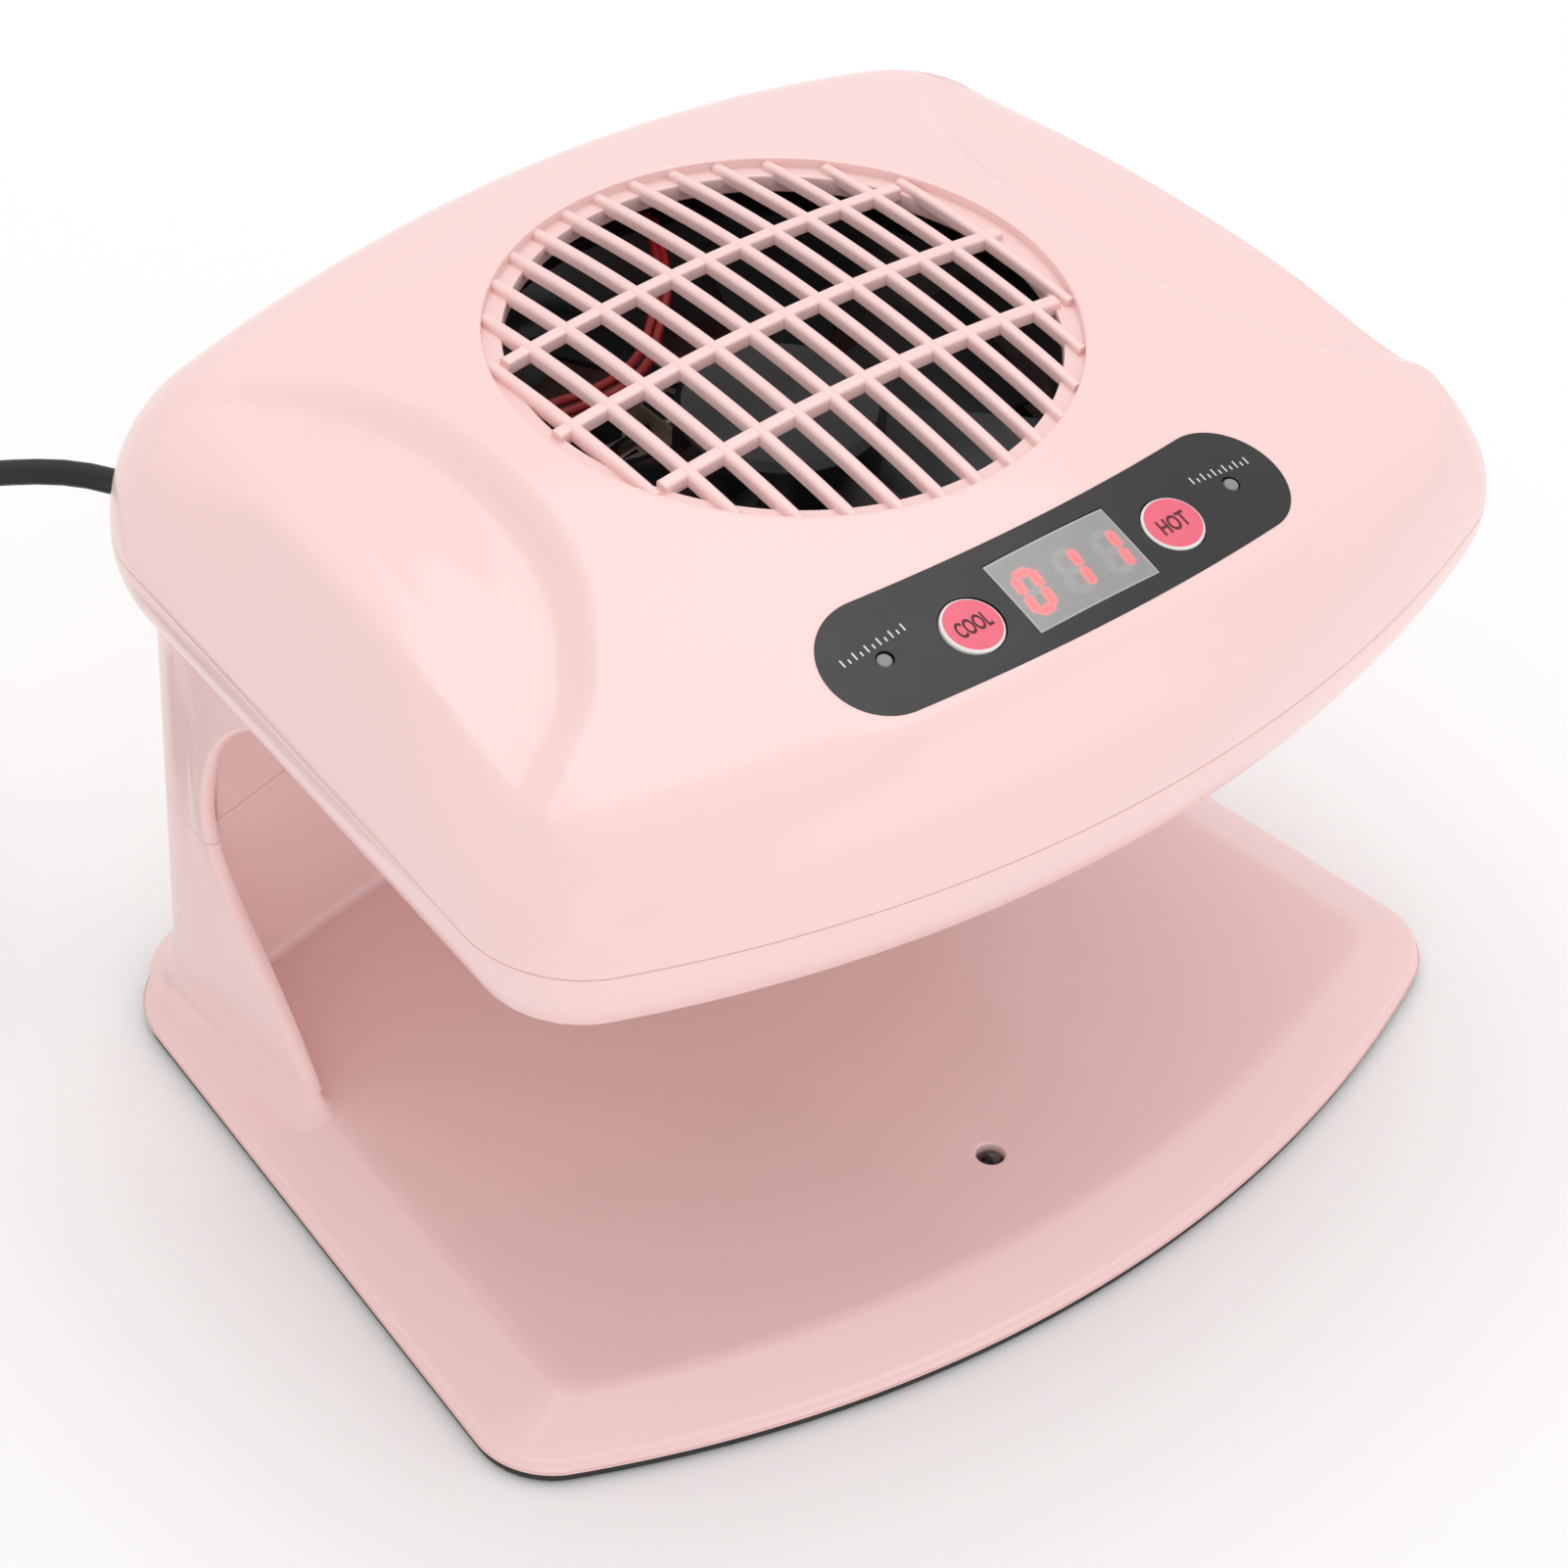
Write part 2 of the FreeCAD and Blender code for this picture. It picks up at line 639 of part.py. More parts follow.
# ---------------------------------------------------------------- bottom plate and feet
foot_h = P("foot_h")
PLATE_INSET = 1.0
PLATE_STEP_INSET = 3.6
plate_rim = pad_body("plate_rim", outline(BASE, PLATE_INSET), foot_h, skirt_z - foot_h)
plate_step = pad_body("plate_step", outline(BASE, PLATE_STEP_INSET), foot_h, P("plate_t"), "plate_t")
plate_solid = fuse("plate_solid", [plate_rim, plate_step])
FEET = [("foot_front_left", -98, -66), ("foot_front_right", 98, -66),
        ("foot_rear_left", -84, 72), ("foot_rear_right", 84, 72)]
foot_r = P("foot_d") / 2
seats = prism("foot_seats", [circle(x, y, foot_r + 0.1) for n, x, y in FEET], foot_h - 1.0, 1.8)
plate_bore = prism("plate_bore", [circle(x, y, 1.6) for x, y in BASE_SCREWS], 0, 6)
plate_sink = prism("plate_sink", [circle(x, y, 3.2) for x, y in BASE_SCREWS], 0, foot_h + 1.2)
plate_tools = fuse("plate_tools", [seats, plate_bore, plate_sink])
node(cut("base_plate_obj", plate_solid, plate_tools), "base_plate")
for name, x, y in FEET:
    prof = [(0, 0), (foot_r - 0.6, 0), (foot_r, 0.6), (foot_r, 1.6), (0, 1.6)]
    node(turned(name + "_b", prof, at(x, y, 0)), name)


def screw_set(label, spots, head_z, head_r, head_h, shank_r, length, down=False):
    """Self-tapping screws: a pan head and a shank, pointing up or down."""
    solids = []
    for i, (x, y) in enumerate(spots):
        prof = [(0, 0), (head_r, 0), (head_r, head_h * 0.6), (shank_r, head_h), (shank_r, length - 1.0),
                (0.3, length), (0, length)]
        rot = FreeCAD.Rotation(V(1, 0, 0), 180) if down else FreeCAD.Rotation()
        pl = FreeCAD.Placement(V(x, y, head_z), rot)
        solids.append(turned("%s_%d" % (label, i), prof, pl))
    comp = doc.addObject("Part::Compound", label + "_set")
    comp.Links = solids
    return node(comp, label)


screw_set("screws_base", BASE_SCREWS, foot_h + 0.1, 2.9, 1.05, 1.25, 7.6)
screw_set("screws_head", BOSSES, low + 1.2, 2.9, 1.7, 1.25, 28.0)
screw_set("screws_fan", FAN_HOLES, P("fan_low") + P("fan_depth") + 1.35, 3.0, 1.3, 1.25, 36.0, True)

# ---------------------------------------------------------------- outlet grille
og = low + 2.45
slots = []
for i in range(-8, 9):
    y = grille_y + i * 5.6
    slots += box_loop(-44, y - 1.7, 44, y + 1.7)
og_plate = pad_body("og_plate", round_loop(-47.5, grille_y - 53.0, 47.5, grille_y + 53.0, 3.0), og, 1.6,
                    holes=slots)
og_ribs = prism("og_ribs", box_loop(-22.8, grille_y - 50, -21.2, grille_y + 50)
                + box_loop(21.2, grille_y - 50, 22.8, grille_y + 50), og - 1.6, 2.6)
node(fuse("outlet_grille_obj", [og_plate, og_ribs]), "outlet_grille")

# ---------------------------------------------------------------- heater on mica cards
hz = og + 2.0
card_t = 0.8
COIL_R = (16.0, 27.0, 38.0)
coil_z = hz + 6.0
cards = fuse("mica_cross", [
    box("mica_a", -46, grille_y - card_t / 2, hz, 92, card_t, 11.0),
    box("mica_b", -card_t / 2, grille_y - 46, hz, card_t, 92, 11.0),
])
rings = []
for i, r in enumerate(COIL_R):
    t = doc.addObject("Part::Torus", "notch_%d" % i)
    t.Radius1 = r
    t.Radius2 = 1.9
    t.Placement = at(0, grille_y, coil_z)
    rings.append(t)
node(cut("heater_cards_obj", cards, fuse("notches", rings)), "heater_cards")
coils = []
for i, r in enumerate(COIL_R):
    t = doc.addObject("Part::Torus", "coil_%d" % i)
    t.Radius1 = r
    t.Radius2 = 1.6
    t.Placement = at(0, grille_y, coil_z)
    coils.append(t)
coil_set = doc.addObject("Part::Compound", "coil_set")
coil_set.Links = coils
node(coil_set, "heater_coil")
node(put(box("cutoff_box", 0, 0, 0, 9, 7, 4.5), at(2.0, grille_y + 0.6, hz + 1.0)), "thermal_cutoff")

# ---------------------------------------------------------------- fan
fan_low = P("fan_low")
fan_d = P("fan_depth")
half = P("fan_size") / 2
FX0 = -half
FY0 = grille_y - half
frame_pad = pad_body("fan_frame_pad", round_loop(FX0, FY0, -FX0, grille_y + half, 5.0), fan_low, fan_d,
                     "fan_depth", holes=[circle(0, grille_y, P("fan_bore_r"))] + [
                         circle(x, y, 2.2) for x, y in FAN_HOLES])
fan_cup = turned("fan_cup", [(0, 0), (19.5, 0), (19.5, 3.0), (5.0, 3.0), (5.0, 18.0), (1.55, 18.0),
                             (1.55, 2.0), (0, 2.0)], at(0, grille_y, fan_low))
struts = []
for i in range(4):
    b = box("strut_%d" % i, 0, 0, 0, P("fan_bore_r") - 18.0, 3.5, 3.0)
    b.setExpression("Length", "Params.fan_bore_r - 18")
    a = 45 + 90 * i
    b.Placement = FreeCAD.Placement(V(0, grille_y, fan_low), FreeCAD.Rotation(V(0, 0, 1), a))
    b.Placement = b.Placement.multiply(at(18.5, -1.75, 0))
    struts.append(b)
node(fuse("fan_frame_obj", [frame_pad, fan_cup] + struts), "fan_frame")

stator_prof = [(5.05, 4.5), (16.0, 4.5), (16.0, 13.0), (5.05, 13.0)]
stator = turned("stator_core", stator_prof, at(0, grille_y, fan_low))
stator_slots = []
for i in range(4):
    b = box("stator_slot_%d" % i, 0, 0, 0, 10.0, 2.4, 11.0)
    b.Placement = FreeCAD.Placement(V(0, grille_y, fan_low), FreeCAD.Rotation(V(0, 0, 1), 90 * i))
    b.Placement = b.Placement.multiply(at(8.0, -1.2, 3.5))
    stator_slots.append(b)
node(cut("fan_stator_obj", stator, fuse("stator_slots", stator_slots)), "fan_stator")

hub_r = P("hub_r")
hub = turned("fan_hub", [(0, 2.6), (1.5, 2.6), (1.5, 20.0), (17.8, 20.0), (17.8, 3.6), (hub_r, 3.6),
                         (hub_r, 21.2), (18.6, 22.6), (0, 22.6)], at(0, grille_y, fan_low))
blades = []
tip = P("blade_tip_r")
for i in range(7):
    a0 = 360.0 / 7 * i

    def station(r, sweep, z0, rise, thick):
        """One blade section on a radius: a thin quadrilateral, tilted."""
        half_a = sweep / 2
        pts = []
        for da, z, dz in ((-half_a, z0, 0), (half_a, z0 + rise, 0), (half_a, z0 + rise, thick),
                          (-half_a, z0, thick)):
            a = math.radians(a0 + da)
            pts.append(V(r * math.cos(a), grille_y + r * math.sin(a), fan_low + z + dz))
        return Part.makePolygon(pts + [pts[0]])

    root = station(hub_r - 1.0, 34.0, 5.0, 14.5, 1.4)
    mid = station(38.0, 31.0, 6.0, 12.5, 1.2)
    end = station(tip, 29.0, 7.0, 10.0, 1.0)
    bl = doc.addObject("Part::Feature", "blade_%d" % i)
    bl.Shape = Part.makeLoft([root, mid, end], True, True)
    blades.append(bl)
hub_clean = doc.addObject("Part::Cylinder", "hub_clean")
hub_clean.Radius = hub_r - 0.6
hub_clean.Height = 40
hub_clean.Placement = at(0, grille_y, fan_low - 5)
blade_set = cut("blade_set", fuse("blade_fuse", blades), hub_clean)
node(fuse("fan_impeller_obj", [hub, blade_set]), "fan_impeller")

# ---------------------------------------------------------------- control panel
panel_band = cut("overlay_band", crown("overlay_hi", 0.0), crown("overlay_lo", FILM_T))
overlay_col = prism("overlay_col", panel_loop(0.0), TOOL_MID, TOOL_H)
overlay_geo = box_loop(-WIN_W / 2, -WIN_H / 2, WIN_W / 2, WIN_H / 2)
overlay_geo += ring_of(-P("button_x"), BUTTON_V, button_hole_r)
overlay_geo += ring_of(P("button_x"), BUTTON_V, button_hole_r)
overlay_geo += ring_of(-P("lamp_x"), LAMP_V, 1.75)
overlay_geo += ring_of(P("lamp_x"), LAMP_V, 1.75)
overlay_open = panel_prism("overlay_open", overlay_geo, -9, 14)
node(cut("overlay_obj", common("overlay_sheet", [panel_band, overlay_col]), overlay_open), "panel_overlay")

window_geo = box_loop(-WIN_W / 2 + 0.1, -WIN_H / 2 + 0.1, WIN_W / 2 - 0.1, WIN_H / 2 - 0.1)
window_col = panel_prism("window_col", window_geo, -9, 14)
window_band = cut("window_band", crown("window_hi", WINDOW_SHEET[0]), crown("window_lo", WINDOW_SHEET[1]))
node(common("display_window_obj", [window_col, window_band]), "display_window")

PCB_TOP = -11.5
pcb_geo = round_loop(-47, -13.5, 47, 13.5, 2.0)
pcb_holes = [circle(-44, 0, 1.3), circle(44, 0, 1.3)]
node(pad_body("control_pcb_b", pcb_geo, PCB_TOP - P("pcb_t"), P("pcb_t"), "pcb_t", panel_frame, pcb_holes),
     "control_pcb")
disp_geo = box_loop(-13.6, -8.2, 13.6, 8.2)
node(panel_prism("display_b", disp_geo, PCB_TOP, 8.2), "display_module")

KEY_PROUD = 0.55
for side, label in ((-1, "cool"), (1, "hot")):
    u = side * P("button_x")
    top_w = KEY_PROUD - arc_sag(P("crown_side"), P("button_x"))
    r = P("button_d") / 2
    prof = [(0, -6.7), (1.6, -6.7), (1.6, -4.9), (r + 0.9, -4.9), (r + 0.9, -3.9), (r, -3.9),
            (r, top_w - 0.35), (r - 0.35, top_w), (0, top_w)]
    pl = panel_frame.multiply(at(u, BUTTON_V, 0))
    node(turned("button_%s_b" % label, prof, pl), "button_" + label)
    sw_pl = panel_frame.multiply(at(u, BUTTON_V, PCB_TOP))
    sw = fuse("switch_%s_f" % label, [
        put(box("switch_%s_a" % label, 0, 0, 0, 6.0, 6.0, 3.4), sw_pl.multiply(at(-3.0, -3.0, 0))),
        put(cyl("switch_%s_c" % label, 0, 0, 0, 1.7, 0.9), sw_pl.multiply(at(0, 0, 3.3))),
    ])
    node(sw, "switch_" + label)
    lu = side * P("lamp_x")
    lamp_top = -arc_sag(P("crown_side"), P("lamp_x"))
    lprof = [(0, PCB_TOP), (1.9, PCB_TOP), (1.9, PCB_TOP + 1.0), (1.5, PCB_TOP + 1.0),
             (1.5, lamp_top - 0.25), (1.2, lamp_top), (0, lamp_top)]
    node(turned("lamp_%s_b" % label, lprof, panel_frame.multiply(at(lu, LAMP_V, 0))), "lamp_" + label)
node(put(box("control_ic_b", 0, 0, 0, 10.0, 5.0, 1.8), panel_frame.multiply(at(28.5, 6.5, PCB_TOP))),
     "control_ic")

# ---------------------------------------------------------------- hand sensor in the base
node(turned("ir_sensor_b", [(0, 6.9), (2.5, 6.9), (2.5, 10.6), (1.9, 11.3), (0, 11.6)],
            at(SENSOR[0], SENSOR[1], 0)), "ir_sensor")
node(pad_body("sensor_pcb_b", box_loop(-9, SENSOR[1] - 6, 9, SENSOR[1] + 6), 5.3, P("pcb_t"), "pcb_t"),
     "sensor_pcb")

# ---------------------------------------------------------------- power board
px0, py0, px1, py1 = POWER
pz = low + 7.0
node(pad_body("power_pcb_b", round_loop(px0, py0, px1, py1, 1.5), pz, P("pcb_t"), "pcb_t",
              holes=[circle(x, y, 1.4) for x, y in PB_HOLES]), "power_pcb")
bz = pz + P("pcb_t")
core = box("tr_core", 70, 12, bz, 24, 20, 16)
bob = box("tr_bobbin", 73, 9.5, bz + 3.0, 18, 25, 10)
node(fuse("transformer_obj", [core, bob]), "transformer")
cap_prof = [(0, 0), (5.2, 0), (5.2, 15.2), (4.6, 16), (0, 16)]
node(turned("cap_main_b", cap_prof, at(72.5, -8, bz)), "capacitor")
fins = [box("sink_w", 84, -26, bz, 2.0, 26, 18)]
for i, y in enumerate((-24, -17, -10, -3.5)):
    fins.append(box("sink_fin_%d" % i, 86, y, bz + 2, 5.0, 1.2, 15))
node(fuse("sink_f", fins), "heat_sink")
node(box("triac_b", 79.3, -20, bz + 1.5, 4.6, 10, 14), "triac")
node(box("terminal_b", 66, -26, bz, 8, 12, 9), "terminal_block")
screw_set("screws_power", PB_HOLES, bz + 1.2, 2.2, 1.0, 1.0, 5.0, True)


# ---------------------------------------------------------------- wires and the power cord
TIGHTEST_BEND = 4.5   # smallest bend radius allowed, in diameters
too_tight = []


def route(name, pts, d, share=0.45):
    """A round tube along straight runs joined by tangent arcs."""
    pv = [V(*p) for p in pts]
    edges = []
    start = pv[0]
    for i in range(1, len(pv) - 1):
        a = (pv[i] - pv[i - 1])
        b = (pv[i + 1] - pv[i])
        la = a.Length
        lb = b.Length
        a.normalize()
        b.normalize()
        reach = share * min(la, lb)
        p0 = pv[i] - a * reach
        p2 = pv[i] + b * reach
        turn = a.getAngle(b)
        radius = reach / math.tan(turn / 2)
        centre_dir = (b - a).normalize()
        dist = radius / math.cos(turn / 2)
        p1 = pv[i] + centre_dir * (dist - radius)
        if radius < TIGHTEST_BEND * d:
            too_tight.append((name, i))
        edges.append(Part.makeLine(start, p0))
        edges.append(Part.Arc(p0, p1, p2).toShape())
        start = p2
    edges.append(Part.makeLine(start, pv[-1]))
    spine = Part.Wire(edges)
    first = (pv[1] - pv[0]).normalize()
    ring = Part.Wire(Part.makeCircle(d / 2, pv[0], first))
    tube = spine.makePipeShell([ring], True, False)
    length = sum(e.Length for e in edges)
    print("%s length %.1f" % (name, length))
    f = doc.addObject("Part::Feature", name)
    f.Shape = tube
    return f


fan_top = fan_low + fan_d
wire_z = fan_top + 2.6
fan_wires = []
WIRE_D = 1.9
WIRE_STEP = 2.6
for i in range(2):
    k = i * WIRE_STEP
    wire = [(-64.5 - k, 40.0, 124.0), (-64.5 - k, 42.0, wire_z - 4),
            (-48.0 - k, 26.0 + k, wire_z + 0.6 * k), (-22.0, 22.0 + k, wire_z + 1.0),
            (2.0, 44.0 + k, wire_z + 0.4), (14.0, 64.0 + k, wire_z - 1.0)]
    fan_wires.append(route("fan_wire_%d" % i, wire, WIRE_D))
fw = doc.addObject("Part::Compound", "fan_wires_set")
fw.Links = fan_wires
node(fw, "lead_wires")

# strain relief: a barbed neck in the wall, a flange, and a tapered sleeve along the lead
cord_r = P("cord_d") / 2
BOOT_IN = -9.0
BOOT_OUT = 11.2
BARB_END = -5.0
boot = turned("boot_b", [(cord_r, BOOT_IN), (4.5, BOOT_IN), (4.8, BARB_END), (BOOT_NECK_R, BARB_END),
                         (BOOT_NECK_R, 0.2), (5.4, 0.2), (5.4, 2.4), (4.5, 2.6), (3.4, BOOT_OUT),
                         (cord_r, BOOT_OUT)],
              FreeCAD.Placement(EXIT, TO_REAR))
node(boot, "strain_relief")

LEAD = [(-74.0, 82.0, 106.3), (-74.0, 113.6, 106.3), (-105.0, 142.6, 101.8), (-127.0, 161.0, 88.0),
        (-142.0, 173.0, 64.0), (-154.0, 182.0, 38.0), (-171.0, 187.0, 14.0), (-196.0, 172.0, 7.8)]
lead = route("cord_lead_tube", LEAD, P("cord_d"))
node(lead, "cord_lead")

# the put-away length: a flat round coil on the table, two layers of three turns
COIL_C = V(-177.0, 140.0, 0)
COIL_MEAN_R = 30.0
COIL_HALF_W = 2 * P("cord_d")
COIL_H = 2 * P("cord_d")
COIL_EDGE = 1.5
coil_in = COIL_MEAN_R - COIL_HALF_W
coil_out = COIL_MEAN_R + COIL_HALF_W
ring_body = turned("coil_ring", [(coil_in + COIL_EDGE, 0), (coil_out - COIL_EDGE, 0), (coil_out, COIL_EDGE),
                                 (coil_out, COIL_H - COIL_EDGE), (coil_out - COIL_EDGE, COIL_H),
                                 (coil_in + COIL_EDGE, COIL_H), (coil_in, COIL_H - COIL_EDGE),
                                 (coil_in, COIL_EDGE)], at(COIL_C.x, COIL_C.y, 0))
node(ring_body, "cord_coil")

# the last few centimetres lead from the coil round to the plug, which lies beside it
TAIL = [(-208.0, 116.0, 2.6), (-193.0, 101.0, 2.6), (-168.0, 93.0, 2.6), (-145.0, 98.0, 3.6),
        (-130.0, 114.0, 6.2), (-127.0, 137.0, 6.9)]
tail = route("cord_tail_tube", TAIL, P("cord_d"))
node(tail, "cord_tail")
plug_dir = V(TAIL[-1][0] - TAIL[-2][0], TAIL[-1][1] - TAIL[-2][1], 0).normalize()
BOOT_L = 12.0
GRIP_L = 24.0
plug_frame = frame_of(V(*TAIL[-1]) - plug_dir * 0.4, plug_dir, V(0, 0, 1))
plug_boot = turned("plug_boot", [(0, 0), (3.4, 0), (4.8, BOOT_L), (0, BOOT_L)], plug_frame)
grip_geo = round_loop(-6.9, -10.0, 6.9, 10.0, 5.0)
grip = pad_body("plug_grip", grip_geo, BOOT_L - 1.0, GRIP_L, placement=plug_frame)
node(fuse("plug_body_obj", [plug_boot, grip]), "plug_body")
PIN_L = 17.2
pins = []
for i in (-1, 1):
    pl = plug_frame.multiply(at(0, i * 6.0, BOOT_L - 1.0 + GRIP_L))
    prof = [(0, 0), (2.0, 0), (2.0, PIN_L - 1.2), (1.2, PIN_L), (0, PIN_L)]
    pins.append(turned("pin_%d" % (i + 1), prof, pl))
ps = doc.addObject("Part::Compound", "plug_pins_set")
ps.Links = pins
node(ps, "plug_pins")

# ---------------------------------------------------------------- checks and export
doc.recompute()
bad = too_tight
for o in doc.Objects:
    st = [s for s in o.State if s in ("Invalid", "Error")]
    if st:
        bad.append((o.Name, st))
for o in NODES:
    if o.Shape.isNull() or not o.Shape.isValid():
        bad.append((o.Label, "shape"))
labels = [o.Label for o in NODES]
if len(set(labels)) != len(labels):
    bad.append(("labels", "repeated"))
os.makedirs("parts", exist_ok=True)
for o in NODES:
    b = o.Shape.BoundBox
    print("%-18s solids %2d vol %9.1f x %7.1f %7.1f y %7.1f %7.1f z %7.1f %7.1f" % (
        o.Label, len(o.Shape.Solids), o.Shape.Volume, b.XMin, b.XMax, b.YMin, b.YMax, b.ZMin, b.ZMax))
    o.Shape.exportStep("parts/%s.step" % o.Label)
print("bad:", bad)
if bad:
    raise RuntimeError("build has faults: %s" % bad)
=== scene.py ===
import math

import bpy
import numpy as np
from mathutils import Matrix, Vector


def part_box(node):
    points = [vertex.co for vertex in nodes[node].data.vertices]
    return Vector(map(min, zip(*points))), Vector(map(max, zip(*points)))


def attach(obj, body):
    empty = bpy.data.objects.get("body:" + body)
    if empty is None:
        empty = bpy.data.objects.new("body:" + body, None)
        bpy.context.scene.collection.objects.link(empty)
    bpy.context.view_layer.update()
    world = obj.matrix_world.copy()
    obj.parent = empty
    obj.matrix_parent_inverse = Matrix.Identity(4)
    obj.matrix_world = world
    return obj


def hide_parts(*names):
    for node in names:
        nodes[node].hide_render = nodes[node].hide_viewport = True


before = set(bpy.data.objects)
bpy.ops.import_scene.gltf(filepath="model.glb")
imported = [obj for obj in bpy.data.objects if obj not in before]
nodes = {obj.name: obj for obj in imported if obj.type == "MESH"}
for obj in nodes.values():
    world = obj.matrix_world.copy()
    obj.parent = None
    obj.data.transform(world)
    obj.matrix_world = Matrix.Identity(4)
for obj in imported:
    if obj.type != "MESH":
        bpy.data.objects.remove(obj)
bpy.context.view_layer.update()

# The looks of a table-top nail dryer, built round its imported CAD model.
# Shapes are worked out in millimetres, in the frame's axes (X right, Y back, Z up), and written to meshes in
# metres. A plan is an array of (x, y) points, and a ring is an array of (x, y, z) points.

MM = 0.001


def corners_mm(node):
    low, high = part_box(node)
    return np.array(low) / MM, np.array(high) / MM


# ---------------------------------------------------------------- driving sizes (mm)
# A plan outline has half its width at y = 0 (w), the slope of its sides (k), the places of its front and
# rear (yf, yr), the radii of their arcs (rf, rr), and the radii of its front and rear corners (cf, cr).
HEAD = dict(w=114.4, k=0.091, yf=-96.1, rf=275.0, yr=98.3, rr=536.0, cf=24.0, cr=29.0)
BASE = dict(w=114.1, k=0.117, yf=-98.4, rf=260.0, yr=97.0, rr=536.0, cf=17.0, cr=22.0)
DECK = dict(w=98.2, k=0.11, yf=-85.1, rf=260.0, yr=86.0, rr=536.0, cf=8.0, cr=12.0)

# The head's underside and parting line, and its crown: an arc front to back, turned about an axis below it.
HEAD_LOW = 112.0
LOW_INSET = 5.15
SEAM_Z = corners_mm("top_cover")[0][2]
CROWN_TOP = 174.4
CROWN_Y = 9.0
CROWN_LONG = 311.0
CROWN_SIDE = 370.0

# The flatter curve that the rounded edge comes up to, and the width over which it turns into the crown.
BROW_TOP = 171.6
BROW_Y = 11.2
BROW_LONG = 450.0
BROW_SIDE = 423.0
BROW_BLEND = 12.0

# The rounded edge of the top. Along the sides it has a soft crease, this far in and this share of the way
# up, at CREASE_AT of the section. It fades in over CREASE_FRONT (y) and CREASE_SIDE (x), and out over
# CREASE_REAR (y).
SHOULDER = 20.5
SHOULDER_POWER = 2.32
CREASE_IN = 12.5
CREASE_UP = 0.955
CREASE_AT = 0.62
CREASE_SLANT = 1.6
CREASE_FRONT = (-80.0, -56.0)
CREASE_REAR = (30.0, 66.0)
CREASE_SIDE = (80.0, 100.0)

# The dip outside a curved step on each side of the dome: its depth, the width of the step, and the share of
# the depth that is lost again further out, between these distances from the step.
SCOOP_DEPTH = 5.0
SCOOP_STEP = 7.5
SCOOP_WING = 0.86
SCOOP_REACH = (8.0, 36.0)

# The grille: a stepped well in the crown, bars front to back and cross bars below them.
GRILLE_Y = 8.7
RIM_R = 55.8
HOLE_R = 51.9
LEDGE_DROP = 2.4
RING_LOW = 6.2
BARS_A_SIDE = 6
BAR_PITCH = 8.26
BAR_W = 2.4
BAR_DROP = 0.8
BAR_LOW = BAR_DROP + 2.6
BAR_ROUND = 1.0
BAR_REACH = RIM_R + 0.6
CROSS_PITCH = 22.9
CROSS_W = 2.8
CROSS_DROP = BAR_DROP + 0.25
CROSS_LOW = BAR_DROP + 2.9
CROSS_ROUND = 0.6
CROSS_REACH = HOLE_R + 1.2

# The base and the column, which parts at SPLIT_Z. The bay's wall bows by x squared over BAY_BOW, and turns
# into the cheeks with a radius of BAY_TURN. A cheek's outside tapers by CHEEK_TAPER to the rear.
SKIRT_Z = corners_mm("base_cover")[0][2]
RIDGE_Z = 6.5
RIDGE_INSET = 1.7
DECK_Z = 12.5
SPLIT_Z = 59.0
BAY_BACK = 76.0
BAY_BOW = 708.0
BAY_TURN = 5.0
BAY_TURN_BACK = 1.4
CHEEK_IN = 95.0
CHEEK_OUT = 98.5
CHEEK_TAPER = 0.7
CHEEK_REAR_Y = 66.0
NOSE_R = (CHEEK_OUT - CHEEK_IN) / 2
COLUMN_CURVE_Z = 98.0
COLUMN_REAR = 93.0
REAR_HALF = 80.0
REAR_BOW = 5.0

# The control panel: a bent slot shape on the crown, with its keys, lamps and window.
PANEL_Y = -71.2
PANEL_HALF = 41.0
PANEL_R = 12.0
PANEL_BEND = 263.0
PANEL_HOLD = 0.5
PANEL_EASE = 7.0
PANEL_CUT = 1.5
FILM_GAP = 0.04
FILM_RISE = 0.12
WINDOW = (28.4, 16.9)
BUTTON_X = 23.9
BUTTON_V = -0.9
BUTTON_RISE = 0.55
LAMP_X = 41.3


# ---------------------------------------------------------------- camera
CAMERA_AT = (-0.505577, -0.565857, 0.723051)
CAMERA_ANGLES = (-41.674, 40.976, 2.946)
SENSOR_WIDTH = 36.0
LENS = 117.03


def frame_matrix(x_axis, y_axis, z_axis, origin):
    """The matrix of a place with these axes."""
    return Matrix((*zip(x_axis, y_axis, z_axis, origin), (0, 0, 0, 1)))


def make_camera():
    """The camera, at the photograph's viewing angle: azimuth, elevation and roll in degrees."""
    azimuth, elevation, roll = (math.radians(a) for a in CAMERA_ANGLES)
    back = Vector((math.sin(azimuth) * math.cos(elevation), -math.cos(azimuth) * math.cos(elevation),
                   math.sin(elevation)))
    right = (-back).cross(Vector((0, 0, 1))).normalized()
    up = right.cross(-back)
    x_axis = math.cos(roll) * right + math.sin(roll) * up
    y_axis = math.cos(roll) * up - math.sin(roll) * right
    data = bpy.data.cameras.new("camera")
    data.sensor_width = SENSOR_WIDTH
    data.lens = LENS
    data.clip_start = 0.01
    data.clip_end = 20.0
    cam = bpy.data.objects.new("camera", data)
    cam.matrix_world = frame_matrix(x_axis, y_axis, back, CAMERA_AT)
    bpy.context.scene.collection.objects.link(cam)
    bpy.context.scene.camera = cam


make_camera()


